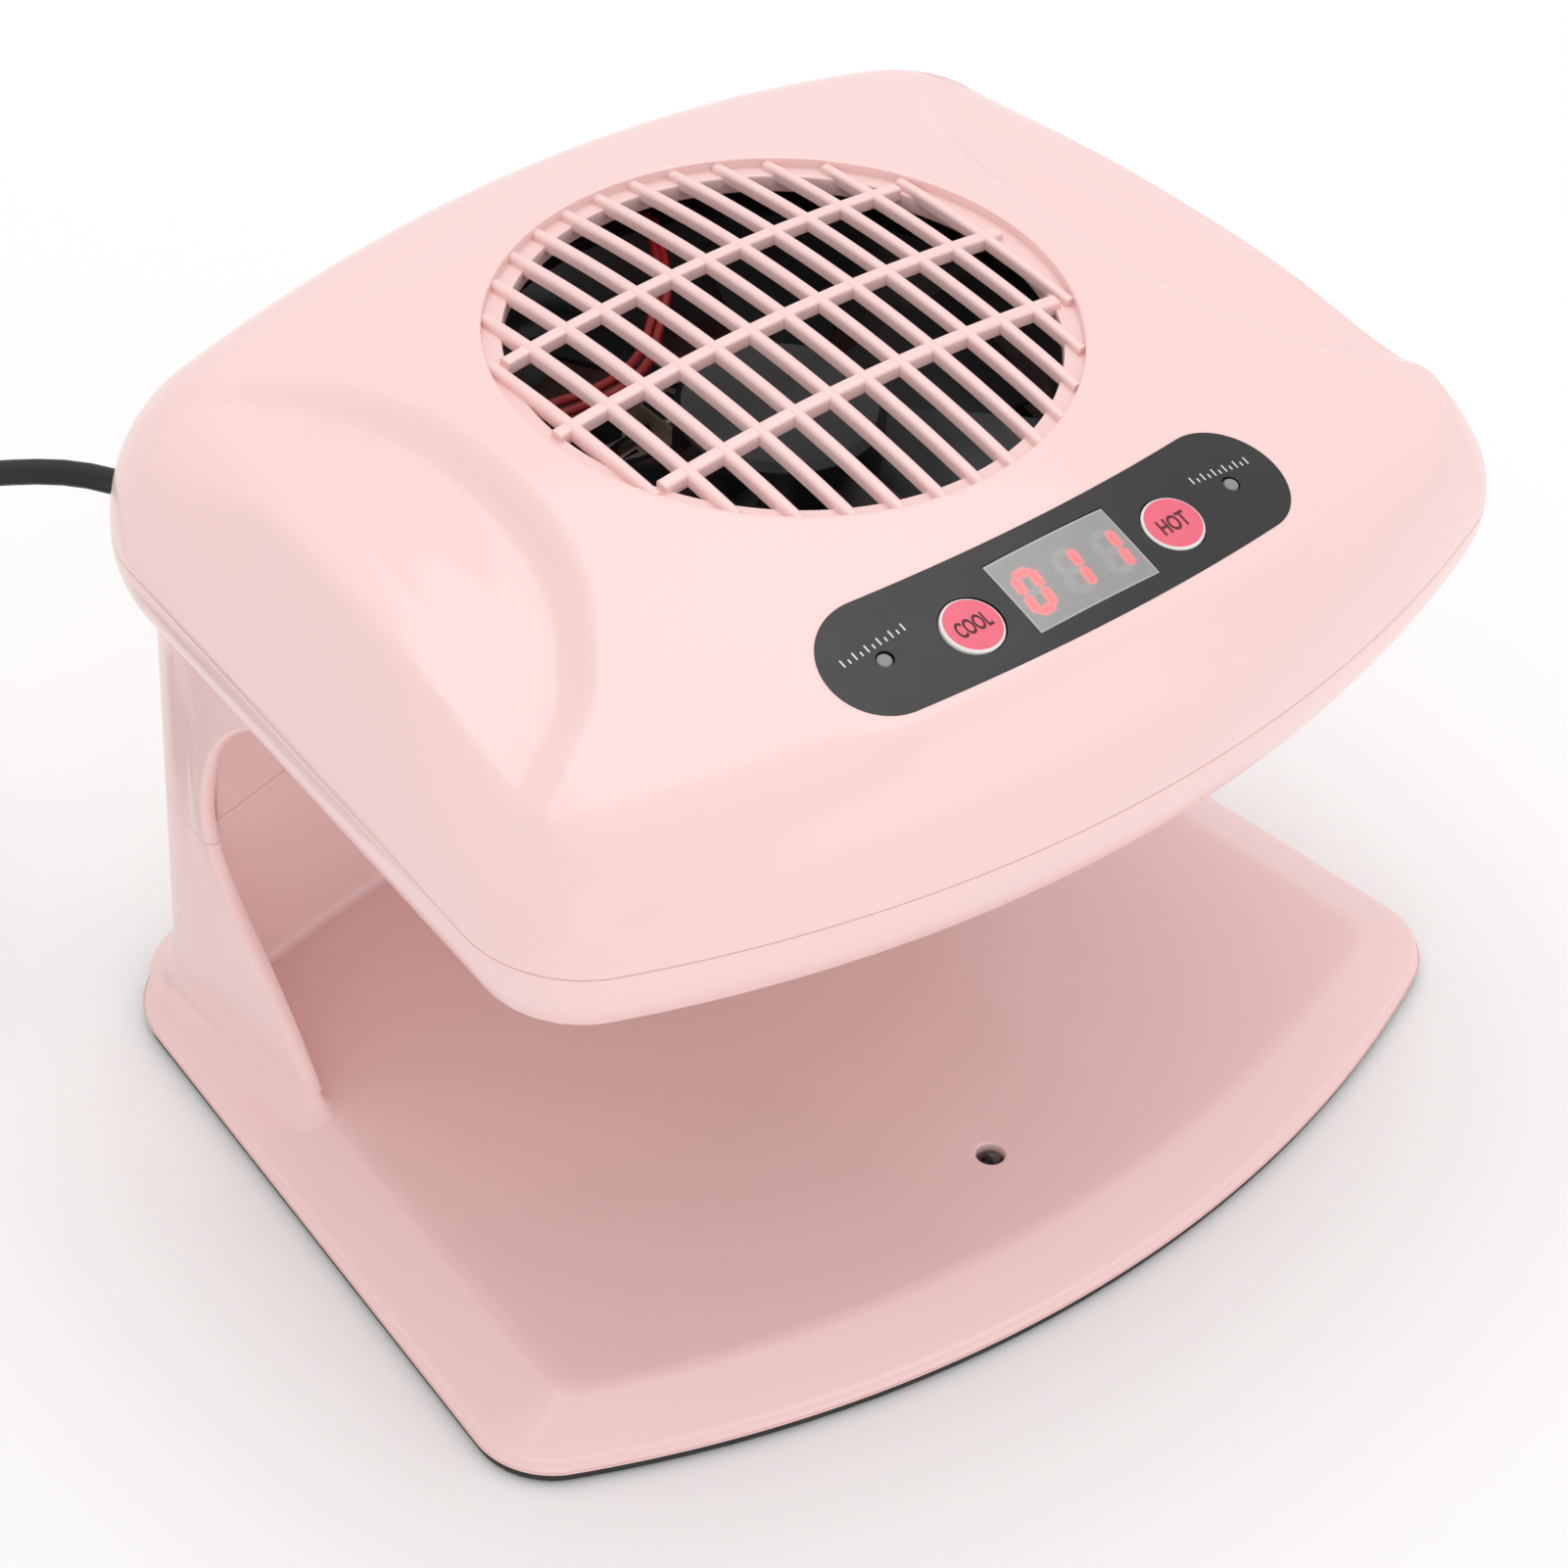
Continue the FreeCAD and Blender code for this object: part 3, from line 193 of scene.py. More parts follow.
# ---------------------------------------------------------------- the power lead
# LEAD runs from inside the head down to the coil, and TAIL from the coil to the plug.
CORD_D = 5.2
LEAD = [(-74.0, 82.0, 106.3), (-74.0, 113.6, 106.3), (-105.0, 142.6, 101.8), (-127.0, 161.0, 88.0),
        (-142.0, 173.0, 64.0), (-154.0, 182.0, 38.0), (-171.0, 187.0, 14.0), (-196.0, 172.0, 7.8)]
TAIL = [(-208.0, 116.0, 2.6), (-193.0, 101.0, 2.6), (-168.0, 93.0, 2.6), (-145.0, 98.0, 3.6),
        (-130.0, 114.0, 6.2), (-127.0, 137.0, 6.9)]
COIL_CENTRE = (-177.0, 140.0)
COIL_OUT_R = 37.6
COIL_IN_R = 22.2
COIL_TOP_Z = 1.5 * CORD_D
COIL_LOW_Z = 0.5 * CORD_D
COIL_TURNS = 6
COIL_POINTS_A_TURN = 16
LAYER_CHANGE = 0.3


def coil_points():
    """Two flat layers of turns, lying on each other: inwards on top, then outwards underneath.

    A quadratic spline runs inside its points, so these stand a little outside the wanted radius."""
    cx, cy = COIL_CENTRE
    start = math.atan2(LEAD[-1][1] - cy, LEAD[-1][0] - cx)
    end = math.atan2(TAIL[0][1] - cy, TAIL[0][0] - cx)
    turns = COIL_TURNS + ((end - start) % (2 * math.pi)) / (2 * math.pi)
    half = turns / 2
    count = round(turns * COIL_POINTS_A_TURN)
    widen = 1 / math.cos(math.pi / COIL_POINTS_A_TURN)
    points = []
    for i in range(1, count):
        u = turns * i / count
        inward = abs(u - half) / half
        radius = (COIL_IN_R + (COIL_OUT_R - COIL_IN_R) * inward) * widen
        drop = min(max((u - half) / LAYER_CHANGE + 0.5, 0.0), 1.0)
        angle = start + 2 * math.pi * u
        points.append((cx + radius * math.cos(angle), cy + radius * math.sin(angle),
                       COIL_TOP_Z + (COIL_LOW_Z - COIL_TOP_Z) * drop))
    return points


def make_lead():
    """The mains lead: one smooth spline from the strain relief, down to its coil and on to the plug.

    The bevel is 1 m and each point's radius brings it down to the lead's."""
    route = LEAD + coil_points() + TAIL
    data = bpy.data.curves.new("power_lead", "CURVE")
    data.dimensions = "3D"
    data.bevel_depth = 1.0
    data.bevel_resolution = 6
    data.resolution_u = 8
    data.use_fill_caps = True
    spline = data.splines.new("NURBS")
    spline.points.add(len(route) - 1)
    for point, (x, y, z) in zip(spline.points, route):
        point.co = (x * MM, y * MM, z * MM, 1.0)
        point.radius = CORD_D / 2 * MM
    spline.order_u = 3
    spline.use_endpoint_u = True
    piece = bpy.data.objects.new("power_lead", data)
    bpy.context.scene.collection.objects.link(piece)
    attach(piece, "housing")
    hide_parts("cord_lead", "cord_coil", "cord_tail")
    return piece


power_lead = make_lead()


# ---------------------------------------------------------------- node materials
def rgba(value):
    """A colour socket as it is, or (r, g, b) with an alpha of 1."""
    return value if isinstance(value, bpy.types.NodeSocket) else (*value, 1.0)


class Shader:
    """A Principled material whose colour, roughness and bump come from nodes."""

    def __init__(self, name):
        self.material = bpy.data.materials.new(name)
        self.material.use_nodes = True
        self.tree = self.material.node_tree
        self.bsdf = self.tree.nodes["Principled BSDF"]
        self.coords = self.tree.nodes.new("ShaderNodeTexCoord").outputs["Object"]

    def node(self, kind, **inputs):
        made = self.tree.nodes.new(kind)
        for key, value in inputs.items():
            self.plug(made.inputs[key.replace("_", " ")], value)
        return made

    def plug(self, socket, value):
        if isinstance(value, bpy.types.NodeSocket):
            self.tree.links.new(value, socket)
        else:
            socket.default_value = value

    def operate(self, kind, operation, values):
        """A Math or Vector Math node with its values plugged in."""
        made = self.tree.nodes.new(kind)
        made.operation = operation
        for socket, value in zip(made.inputs, values):
            self.plug(socket, value)
        return made.outputs

    def math(self, operation, *values):
        return self.operate("ShaderNodeMath", operation, values)[0]

    def vector_math(self, operation, *values):
        return self.operate("ShaderNodeVectorMath", operation, values)

    def attribute(self, name):
        made = self.tree.nodes.new("ShaderNodeAttribute")
        made.attribute_name = name
        return made.outputs["Fac"]

    def noise(self, scale, detail=3.0, vector=None):
        return self.node("ShaderNodeTexNoise", Vector=vector or self.coords, Scale=scale,
                         Detail=detail).outputs["Fac"]

    def stretch(self, x, y, z):
        made = self.node("ShaderNodeMapping", Vector=self.coords)
        made.inputs["Scale"].default_value = (x, y, z)
        return made.outputs[0]

    def spread(self, value, low, high, start=0.3, end=0.7):
        """value mapped from start..end to low..high."""
        return self.node("ShaderNodeMapRange", Value=value, From_Min=start, From_Max=end,
                         To_Min=low, To_Max=high).outputs[0]

    def step(self, value, low, high):
        """A smooth step from 0 at low to 1 at high."""
        made = self.node("ShaderNodeMapRange", Value=value, From_Min=low, From_Max=high)
        made.interpolation_type = "SMOOTHSTEP"
        return made.outputs[0]

    def mix(self, factor, a, b):
        made = self.tree.nodes.new("ShaderNodeMix")
        made.data_type = "RGBA"
        self.plug(made.inputs["Factor"], factor)
        self.plug(made.inputs["A"], rgba(a))
        self.plug(made.inputs["B"], rgba(b))
        return made.outputs["Result"]

    def colour(self, value):
        self.plug(self.bsdf.inputs["Base Color"], rgba(value))

    def rough(self, value):
        self.plug(self.bsdf.inputs["Roughness"], value)

    def bump(self, height, strength, distance):
        made = self.node("ShaderNodeBump", Height=height, Strength=strength, Distance=distance)
        self.plug(self.bsdf.inputs["Normal"], made.outputs[0])

    def set(self, **values):
        for key, value in values.items():
            self.bsdf.inputs[key.replace("_", " ")].default_value = value


def plastic(name, colour, low, high, grain=900.0, depth=0.02, tint=0.06, coat=0.0):
    """Moulded plastic: a slight drift of colour, uneven gloss and a fine surface texture."""
    s = Shader(name)
    paler = tuple(min(1.0, c * (1 + tint)) for c in colour)
    darker = tuple(c * (1 - tint) for c in colour)
    s.colour(s.mix(s.noise(14.0, 4.0), darker, paler))
    s.rough(s.spread(s.noise(60.0, 5.0), low, high))
    s.bump(s.noise(grain, 2.0), 0.15, depth * MM)
    if coat:
        s.set(Coat_Weight=coat, Coat_Roughness=0.08)
    return s.material


def metal(name, colour, low, high, stretched=(30.0, 30.0, 900.0)):
    """Bare metal with fine drawn lines and a few duller patches."""
    s = Shader(name)
    lines = s.noise(1.0, 3.0, s.stretch(*stretched))
    s.colour(s.mix(lines, tuple(c * 0.8 for c in colour), colour))
    s.rough(s.spread(s.noise(40.0, 5.0), low, high))
    s.bump(lines, 0.2, 0.01 * MM)
    s.set(Metallic=1.0)
    return s.material


def pink_gloss(pale, deep):
    """The body's glossy plastic: an even pink with a faint drift and a slight orange peel."""
    s = Shader("pink_gloss_plastic")
    s.colour(s.mix(s.noise(9.0, 2.0), deep, pale))
    s.rough(s.spread(s.noise(30.0, 1.0), 0.27, 0.34, 0.0, 1.0))
    s.bump(s.noise(420.0, 2.0), 0.05, 0.03 * MM)
    s.set(Coat_Weight=0.35, Coat_Roughness=0.06)
    return s.material


pink = pink_gloss(pale=(0.925, 0.650, 0.632), deep=(0.915, 0.640, 0.622))


# ---------------------------------------------------------------- meshes
SHARP_ANGLE = 40.0


def make_mesh(name, points, faces):
    mesh = bpy.data.meshes.new(name)
    mesh.from_pydata((np.asarray(points) * MM).tolist(), [], faces)
    mesh.update()
    mesh.shade_smooth()
    mesh.set_sharp_from_angle(angle=math.radians(SHARP_ANGLE))
    return mesh


def add_piece(name, mesh, material, body="housing", replaces=()):
    piece = bpy.data.objects.new(name, mesh)
    mesh.materials.clear()
    mesh.materials.append(material)
    bpy.context.scene.collection.objects.link(piece)
    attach(piece, body)
    if replaces:
        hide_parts(*replaces)


def loft(rings, capped=False, skip=None):
    """Quads between closed rings of equally many points. A face is left out if skip marks all its points."""
    count = len(rings[0])
    points = np.concatenate(rings)
    faces = []
    for a in range(0, (len(rings) - 1) * count, count):
        b = a + count
        for j in range(count):
            k = (j + 1) % count
            faces.append((a + j, a + k, b + k, b + j))
    if skip is not None:
        gone = skip(points)
        faces = [f for f in faces if not gone[list(f)].all()]
    if capped:
        last = (len(rings) - 1) * count
        faces.append(tuple(range(last, last + count)))
        faces.append(tuple(reversed(range(count))))
    return points, faces


def join(parts):
    """Several (points, faces) pairs as one."""
    points = []
    faces = []
    start = 0
    for p, f in parts:
        points.append(p)
        faces += [tuple(i + start for i in face) for face in f]
        start += len(p)
    return np.concatenate(points), faces


def place(points, matrix):
    """Points moved by a 4x4 matrix."""
    m = np.array(matrix)
    return np.asarray(points) @ m[:3, :3].T + m[:3, 3]


def smooth_line(points, count=12):
    """A Catmull-Rom line through given points, with count steps between each two."""
    p = np.asarray(points, float)
    p = np.concatenate([[2 * p[0] - p[1]], p, [2 * p[-1] - p[-2]]])
    out = []
    spans = len(p) - 3
    for i in range(spans):
        a, b, c, d = p[i:i + 4]
        t = np.linspace(0, 1, count, endpoint=i == spans - 1)[:, None]
        out.append(0.5 * (2 * b + (c - a) * t + (2 * a - 5 * b + 4 * c - d) * t ** 2
                          + (3 * b - a - 3 * c + d) * t ** 3))
    return np.concatenate(out)


def smoothstep(low, high, value):
    t = np.clip((value - low) / (high - low), 0, 1)
    return t * t * (3 - 2 * t)


# ---------------------------------------------------------------- plan outlines
OUTLINE_COUNTS = (56, 26, 70, 26, 56)
SMALLEST_CORNER = 1.0


def arc_points(centre, radius, start, end, count):
    a = np.linspace(start, end, count, endpoint=False)
    return np.stack([centre[0] + radius * np.cos(a), centre[1] + radius * np.sin(a)], axis=1)


def outline(o, inset):
    """A plan outline moved in by inset: front arc, corner, side, corner and rear arc, then mirrored.

    It starts at the front centre and runs anticlockwise seen from above."""
    k = o["k"]
    c = 1.0 / math.hypot(1.0, k)
    w = o["w"] - inset / c
    small = max(o["cf"] - inset, SMALLEST_CORNER)
    large = max(o["cr"] - inset, SMALLEST_CORNER)
    front = (0.0, o["yf"] + o["rf"])
    rear = (0.0, o["yr"] - o["rr"])

    def corner(cy, big, r, sign):
        """Centre of the corner arc of radius r that touches the side and the arc of radius big."""
        off = w - r / c
        qa = 1 + k * k
        qb = -2 * off * k - 2 * cy
        qc = off * off + cy * cy - (big - r) ** 2
        y = (-qb + sign * math.sqrt(max(qb * qb - 4 * qa * qc, 0.0))) / (2 * qa)
        return off - k * y, y

    fc = corner(front[1], o["rf"] - inset, small, -1)
    rc = corner(rear[1], o["rr"] - inset, large, 1)
    side = math.atan2(k, 1.0)
    fa = math.atan2(fc[1] - front[1], fc[0])
    ra = math.atan2(rc[1] - rear[1], rc[0])
    outward = np.array([math.cos(side), math.sin(side)])
    start = np.array(fc) + small * outward
    end = np.array(rc) + large * outward
    t = np.linspace(0, 1, OUTLINE_COUNTS[2], endpoint=False)[:, None]
    half = np.concatenate([
        arc_points(front, o["rf"] - inset, -math.pi / 2, fa, OUTLINE_COUNTS[0]),
        arc_points(fc, small, fa, side, OUTLINE_COUNTS[1]),
        start + (end - start) * t,
        arc_points(rc, large, side, ra, OUTLINE_COUNTS[3]),
        arc_points(rear, o["rr"] - inset, ra, math.pi / 2, OUTLINE_COUNTS[4])])
    last = np.array([[0.0, o["yr"] - inset]])
    left = half[1:][::-1] * np.array([-1, 1])
    return np.concatenate([half, last, left])


def lift(plan, z):
    return np.column_stack([plan, np.broadcast_to(z, len(plan))])


def polar_ring(plan, centre, radius):
    """Points of a circle, each in the direction of a plan point from the circle's centre."""
    d = plan - np.array(centre)
    return np.array(centre) + radius * d / np.linalg.norm(d, axis=1)[:, None]


# ---------------------------------------------------------------- the head's top
SCOOP_RIM = smooth_line([(-88.6, 78.0), (-76.3, 60.2), (-70.5, 49.0), (-65.2, 28.9), (-64.3, 8.9),
                         (-66.3, -9.2), (-71.0, -24.1), (-78.1, -35.7), (-85.0, -44.1), (-92.4, -49.2),
                         (-103.3, -55.7), (-112.9, -60.9)])


def scoop(x, y):
    """How far the top dips outside the curved step on each side of the dome."""
    p = np.column_stack([-np.abs(x), y])
    rim = SCOOP_RIM
    d = np.linalg.norm(p[:, None, :] - rim[None, :, :], axis=2)
    i = d.argmin(axis=1)
    ahead = rim[np.minimum(i + 1, len(rim) - 1)] - rim[np.maximum(i - 1, 0)]
    away = p - rim[i]
    side = np.sign(ahead[:, 1] * away[:, 0] - ahead[:, 0] * away[:, 1])
    signed = side * d[np.arange(len(p)), i]
    along = i / (len(rim) - 1)
    depth = SCOOP_DEPTH * np.sqrt(np.abs(np.sin(math.pi * along)))
    wing = 1 - SCOOP_WING * smoothstep(*SCOOP_REACH, signed)
    return depth * smoothstep(0.0, SCOOP_STEP, signed) * wing


def arc_sag(radius, off):
    """How far an arc lies below its top at a distance from its middle."""
    return radius - np.sqrt(radius ** 2 - off ** 2)


def crown(x, y):
    """Height of the crown: an arc front to back, turned about an axis below it."""
    across = CROWN_SIDE - arc_sag(CROWN_LONG, y - CROWN_Y)
    return CROWN_TOP - CROWN_SIDE + np.sqrt(across ** 2 - x ** 2)


def panel_distance(x, y):
    """Distance outside the control panel's outline, negative inside."""
    cy = PANEL_Y + PANEL_BEND
    angle = math.asin(PANEL_HALF / PANEL_BEND)
    r = np.hypot(x, cy - y)
    a = np.arctan2(x, cy - y)
    band = np.abs(r - PANEL_BEND) - PANEL_R
    ex = PANEL_BEND * math.sin(angle)
    ey = cy - PANEL_BEND * math.cos(angle)
    ends = np.hypot(np.abs(x) - ex, y - ey) - PANEL_R
    return np.where(np.abs(a) <= angle, band, ends)


def brow(x, y):
    """The flatter curve that the rounded edge of the head comes up to."""
    return BROW_TOP - (y - BROW_Y) ** 2 / (2 * BROW_LONG) - x ** 2 / (2 * BROW_SIDE)


def top_height(x, y, inside=0.0):
    """Height of the top, at a distance inside its rounded edge."""
    dome = smoothstep(0.0, BROW_BLEND, inside)
    return brow(x, y) + (crown(x, y) - brow(x, y)) * dome - scoop(x, y)


def settle(ring):
    """The ring brought to the film's underside where it runs under or near the control panel."""
    x, y = ring[:, 0], ring[:, 1]
    near = 1 - smoothstep(PANEL_HOLD, PANEL_EASE, panel_distance(x, y))
    out = ring.copy()
    out[:, 2] += (crown(x, y) - FILM_GAP - ring[:, 2]) * near
    return out


def surface(plan, edge):
    """A ring of the top, given the ring of points it starts from at the rounded edge."""
    inside = np.linalg.norm(plan - edge, axis=1)
    return settle(lift(plan, top_height(plan[:, 0], plan[:, 1], inside)))


def side_section(steps):
    """The shoulder's section along the sides: a slanted wall, a soft crease and the wing above it."""
    t = np.linspace(0, 1, steps)
    low = np.clip(t / CREASE_AT, 0, 1)
    high = np.clip((t - CREASE_AT) / (1 - CREASE_AT), 0, 1)
    inset = CREASE_IN * low ** CREASE_SLANT + (SHOULDER - CREASE_IN) * high
    rise = CREASE_UP * low + (1 - CREASE_UP) * high
    for line in (inset, rise):
        line[1:-1] = (line[:-2] + 2 * line[1:-1] + line[2:]) / 4
    return inset, rise


def shoulder_rings(steps=32):
    """From the parting line up and over the shoulder, which has a crease along the sides."""
    rings = []
    widest = outline(HEAD, 0.0)
    inner = outline(HEAD, SHOULDER)
    beside = smoothstep(*CREASE_FRONT, widest[:, 1]) * (1 - smoothstep(*CREASE_REAR, widest[:, 1]))
    beside *= smoothstep(*CREASE_SIDE, np.abs(widest[:, 0]))
    side_in, side_up = side_section(steps)
    power = 2 / SHOULDER_POWER
    for i, phi in enumerate(np.linspace(0, math.pi / 2, steps)):
        round_in = SHOULDER * (1 - math.cos(phi) ** power)
        round_up = math.sin(phi) ** power
        inset = round_in + (side_in[i] - round_in) * beside
        rise = round_up + (side_up[i] - round_up) * beside
        plan = widest + (inner - widest) * (inset / SHOULDER)[:, None]
        top = top_height(plan[:, 0], plan[:, 1])
        rings.append(settle(lift(plan, SEAM_Z + (top - SEAM_Z) * rise)))
    return rings


# The lips where the head's two shells meet: inset in plan, and distance from the parting line.
LIP = ((1.6, 0.05), (0.3, 0.05), (0.08, 0.12))
LIP_END = 0.3
LIP_INSIDE = (1.6, 3.0)

# The well round the grille: a ring's distance outside or inside a radius, and its drop below the crown.
WELL_RIM = ((0.45, 0.06), (0.12, 0.3), (0.0, 0.7), (0.0, LEDGE_DROP - 0.5), (-0.15, LEDGE_DROP - 0.15),
            (-0.5, LEDGE_DROP))
WELL_HOLE = ((0.6, LEDGE_DROP), (0.2, LEDGE_DROP + 0.12), (0.0, LEDGE_DROP + 0.5), (0.0, RING_LOW - 0.4),
             (0.4, RING_LOW), (6.0, RING_LOW))
WELL_START = 0.9
TOP_RINGS = 46


def build_top_cover():
    """The top shell as one loft, from inside its lip to the underside of the grille's ring."""
    rings = [lift(outline(HEAD, inset), SEAM_Z + up) for inset, up in (LIP_INSIDE, *LIP)]
    rings.append(lift(outline(HEAD, 0.0), SEAM_Z + LIP_END))
    rings += shoulder_rings()[1:]
    inner = outline(HEAD, SHOULDER)
    centre = (0.0, GRILLE_Y)
    rim = polar_ring(inner, centre, RIM_R + WELL_START)
    for t in np.linspace(0, 1, TOP_RINGS)[1:]:
        rings.append(surface(inner + (rim - inner) * t, inner))
    for base_r, well in ((RIM_R, WELL_RIM), (HOLE_R, WELL_HOLE)):
        for out, drop in well:
            plan = polar_ring(inner, centre, base_r + out)
            rings.append(lift(plan, crown(plan[:, 0], plan[:, 1]) - drop))

    def under_panel(points):
        return panel_distance(points[:, 0], points[:, 1]) < -PANEL_CUT

    return loft(rings, skip=under_panel)


def bar(axis, offset, reach, width, high, low, round_top):
    """One grille bar following the crown: a rounded section swept along X or Y."""
    flat = width / 2 - round_top
    section = [(width / 2, -low)]
    for a in np.linspace(0, math.pi, 9):
        middle = flat if a <= math.pi / 2 else -flat
        section.append((middle + round_top * math.cos(a), -high - round_top + round_top * math.sin(a)))
    section.append((-width / 2, -low))
    rings = []
    for s in np.linspace(-reach, reach, 41):
        ring = []
        for across, drop in section:
            x, y = (offset + across, GRILLE_Y + s) if axis == "y" else (s, GRILLE_Y + offset + across)
            ring.append((x, y, crown(x, y) + drop))
        rings.append(np.array(ring))
    if axis == "x":
        rings = [r[::-1] for r in rings]
    return loft(rings, capped=True)


def build_grille_bars():
    """The bars front to back reach into the well's wall, and the cross bars to the inner ring."""
    parts = []
    for i in range(-BARS_A_SIDE, BARS_A_SIDE + 1):
        x = i * BAR_PITCH
        reach = math.sqrt(BAR_REACH ** 2 - (abs(x) + BAR_W / 2) ** 2)
        parts.append(bar("y", x, reach, BAR_W, BAR_DROP, BAR_LOW, BAR_ROUND))
    for y in (-CROSS_PITCH, 0.0, CROSS_PITCH):
        reach = math.sqrt(CROSS_REACH ** 2 - (abs(y) + CROSS_W / 2) ** 2)
        parts.append(bar("x", y, reach, CROSS_W, CROSS_DROP, CROSS_LOW, CROSS_ROUND))
    return join(parts)


add_piece("top_cover_shell", make_mesh("top_cover_shell", *join([build_top_cover(), build_grille_bars()])),
          pink, replaces=("top_cover",))


# ---------------------------------------------------------------- the head's underside and the column
PAN_EDGE = 1.6
PAN_CHAMFER = 0.6
OUTLET_HALF = 50.0
OUTLET_CORNER_POWER = 12.0


def tuck(z):
    """How far the head draws in from its parting line down to its underside."""
    s = (z - HEAD_LOW) / (SEAM_Z - HEAD_LOW)
    return LOW_INSET * (1 - s) ** 2


def rounded_square(plan, centre, half):
    """The point of a rounded square in the direction of each plan point."""
    d = plan - np.array(centre)
    a = np.arctan2(d[:, 1], d[:, 0])
    power = OUTLET_CORNER_POWER
    r = half / (np.abs(np.cos(a)) ** power + np.abs(np.sin(a)) ** power) ** (1 / power)
    return np.array(centre) + np.column_stack([r * np.cos(a), r * np.sin(a)])


def build_pan():
    """The lower half of the head, from its lip round the bottom edge to the air outlet."""
    rings = [lift(outline(HEAD, inset), SEAM_Z - down) for inset, down in LIP]
    for z in np.linspace(SEAM_Z - LIP_END, HEAD_LOW + PAN_EDGE, 14):
        rings.append(lift(outline(HEAD, tuck(z)), z))
    start = tuck(HEAD_LOW + PAN_EDGE) + PAN_CHAMFER
    for a in np.linspace(0, math.pi / 2, 7)[1:]:
        inset = start + PAN_EDGE * (1 - math.cos(a)) - PAN_CHAMFER * (1 - math.sin(a))
        rings.append(lift(outline(HEAD, inset), HEAD_LOW + PAN_EDGE * (1 - math.sin(a))))
    inner = outline(HEAD, start + PAN_EDGE + 0.5)
    hole = rounded_square(inner, (0.0, GRILLE_Y), OUTLET_HALF)
    for t in np.linspace(0, 1, 12):
        rings.append(lift(inner + (hole - inner) * t, HEAD_LOW))
    rings += [lift(hole, HEAD_LOW + up) for up in (0.4, 4.0)]
    points, faces = loft(rings)
    return points, [tuple(reversed(f)) for f in faces]


# The front edge of the cheeks beside the bay: (y, z) from the base up to the head.
BAY = smooth_line([(24.0, 12.4), (33.0, 25.5), (43.0, 37.5), (51.5, 47.0), (57.3, 56.0), (59.8, 66.0),
                   (58.0, 78.0), (53.3, 88.5), (43.5, 98.5), (28.0, 106.5), (8.0, 112.2)])
REAR_CORNER = ((97.8, 66.0), (97.2, 80.0), (91.0, 86.4), (80.0, 88.0))

# The lips at the column's parting line: how far a ring is drawn in, and its distance from the line.
COLUMN_LIP = ((1.2, 0.02), (0.22, 0.02), (0.0, 0.2))
COLUMN_LIP_END = 0.4

# The flare at the column's foot: its radius outside, its radius inside the bay, and what is added to that at
# the rear, which fades in over FLARE_FADE (y). It turns by FLARE_ANGLE, less FLARE_LESS outside, in degrees,
# and ends FLARE_SINK inside the base. Its plan is the column's at FLARE_Z.
FLARE_OUT = 9.0
FLARE_IN = 2.4
FLARE_REAR = 0.4
FLARE_FADE = (86.0, 90.0)
FLARE_ANGLE = 86.0
FLARE_LESS = 21.0
FLARE_SINK = 0.12
FLARE_Z = DECK_Z + 4.0


def column_plan(z):
    """Half of the column's plan at height z, from the bay wall's middle round to the rear's middle.

    z holds one height or one per point. Returns points and how far each is an outside point, 0 to 1."""
    x = np.linspace(0, CHEEK_IN - BAY_TURN, 40, endpoint=False)
    wall = np.column_stack([x, BAY_BACK - x ** 2 / BAY_BOW])
    a = np.linspace(0, math.pi / 2, 8, endpoint=False)
    turn_y = BAY_BACK - CHEEK_IN ** 2 / BAY_BOW + BAY_TURN_BACK - BAY_TURN
    turn = np.column_stack([CHEEK_IN - BAY_TURN + BAY_TURN * np.sin(a), turn_y + BAY_TURN * np.cos(a)])

    inside, nose, outside, corner = (np.linspace(0, 1, n, endpoint=False) for n in (14, 14, 20, 20))
    rear_x = np.linspace(REAR_HALF, 0, 31)
    counts = [len(part) for part in (x, a, inside, nose, outside, corner, rear_x)]
    nose_y = np.interp(np.broadcast_to(z, sum(counts)), BAY[:, 1], BAY[:, 0]) + NOSE_R
    nose_y = np.split(nose_y, np.cumsum(counts)[:-1])

    top = np.maximum(turn_y, nose_y[2] + 0.2)
    inner_face = np.column_stack([np.full(len(inside), CHEEK_IN), top + (nose_y[2] - top) * inside])
    nose_a = math.pi * nose
    tip = np.column_stack([(CHEEK_IN + CHEEK_OUT) / 2 - NOSE_R * np.cos(nose_a),
                           nose_y[3] - NOSE_R * np.sin(nose_a)])
    outer_face = np.column_stack([CHEEK_OUT - CHEEK_TAPER * outside ** 2,
                                  nose_y[4] + (CHEEK_REAR_Y - nose_y[4]) * outside])
    t = corner[:, None]
    p0, p1, p2, p3 = (np.array(p) for p in REAR_CORNER)
    bend = (1 - t) ** 3 * p0 + 3 * (1 - t) ** 2 * t * p1 + 3 * (1 - t) * t ** 2 * p2 + t ** 3 * p3
    rear = np.column_stack([rear_x, COLUMN_REAR - REAR_BOW * (rear_x / REAR_HALF) ** 2])

    share = np.concatenate([np.zeros(sum(counts[:3])), smoothstep(0.0, 1.0, nose), np.ones(sum(counts[4:]))])
    return np.concatenate([wall, turn, inner_face, tip, outer_face, bend, rear]), share


def both_halves(right):
    """A ring of the column from its right half."""
    return np.concatenate([right, right[1:-1][::-1] * np.array([-1, 1, 1])])


def column_ring(z):
    """The whole plan at height z (one height or one per point of the half), anticlockwise."""
    half = column_plan(z)[0]
    return both_halves(lift(half, z))


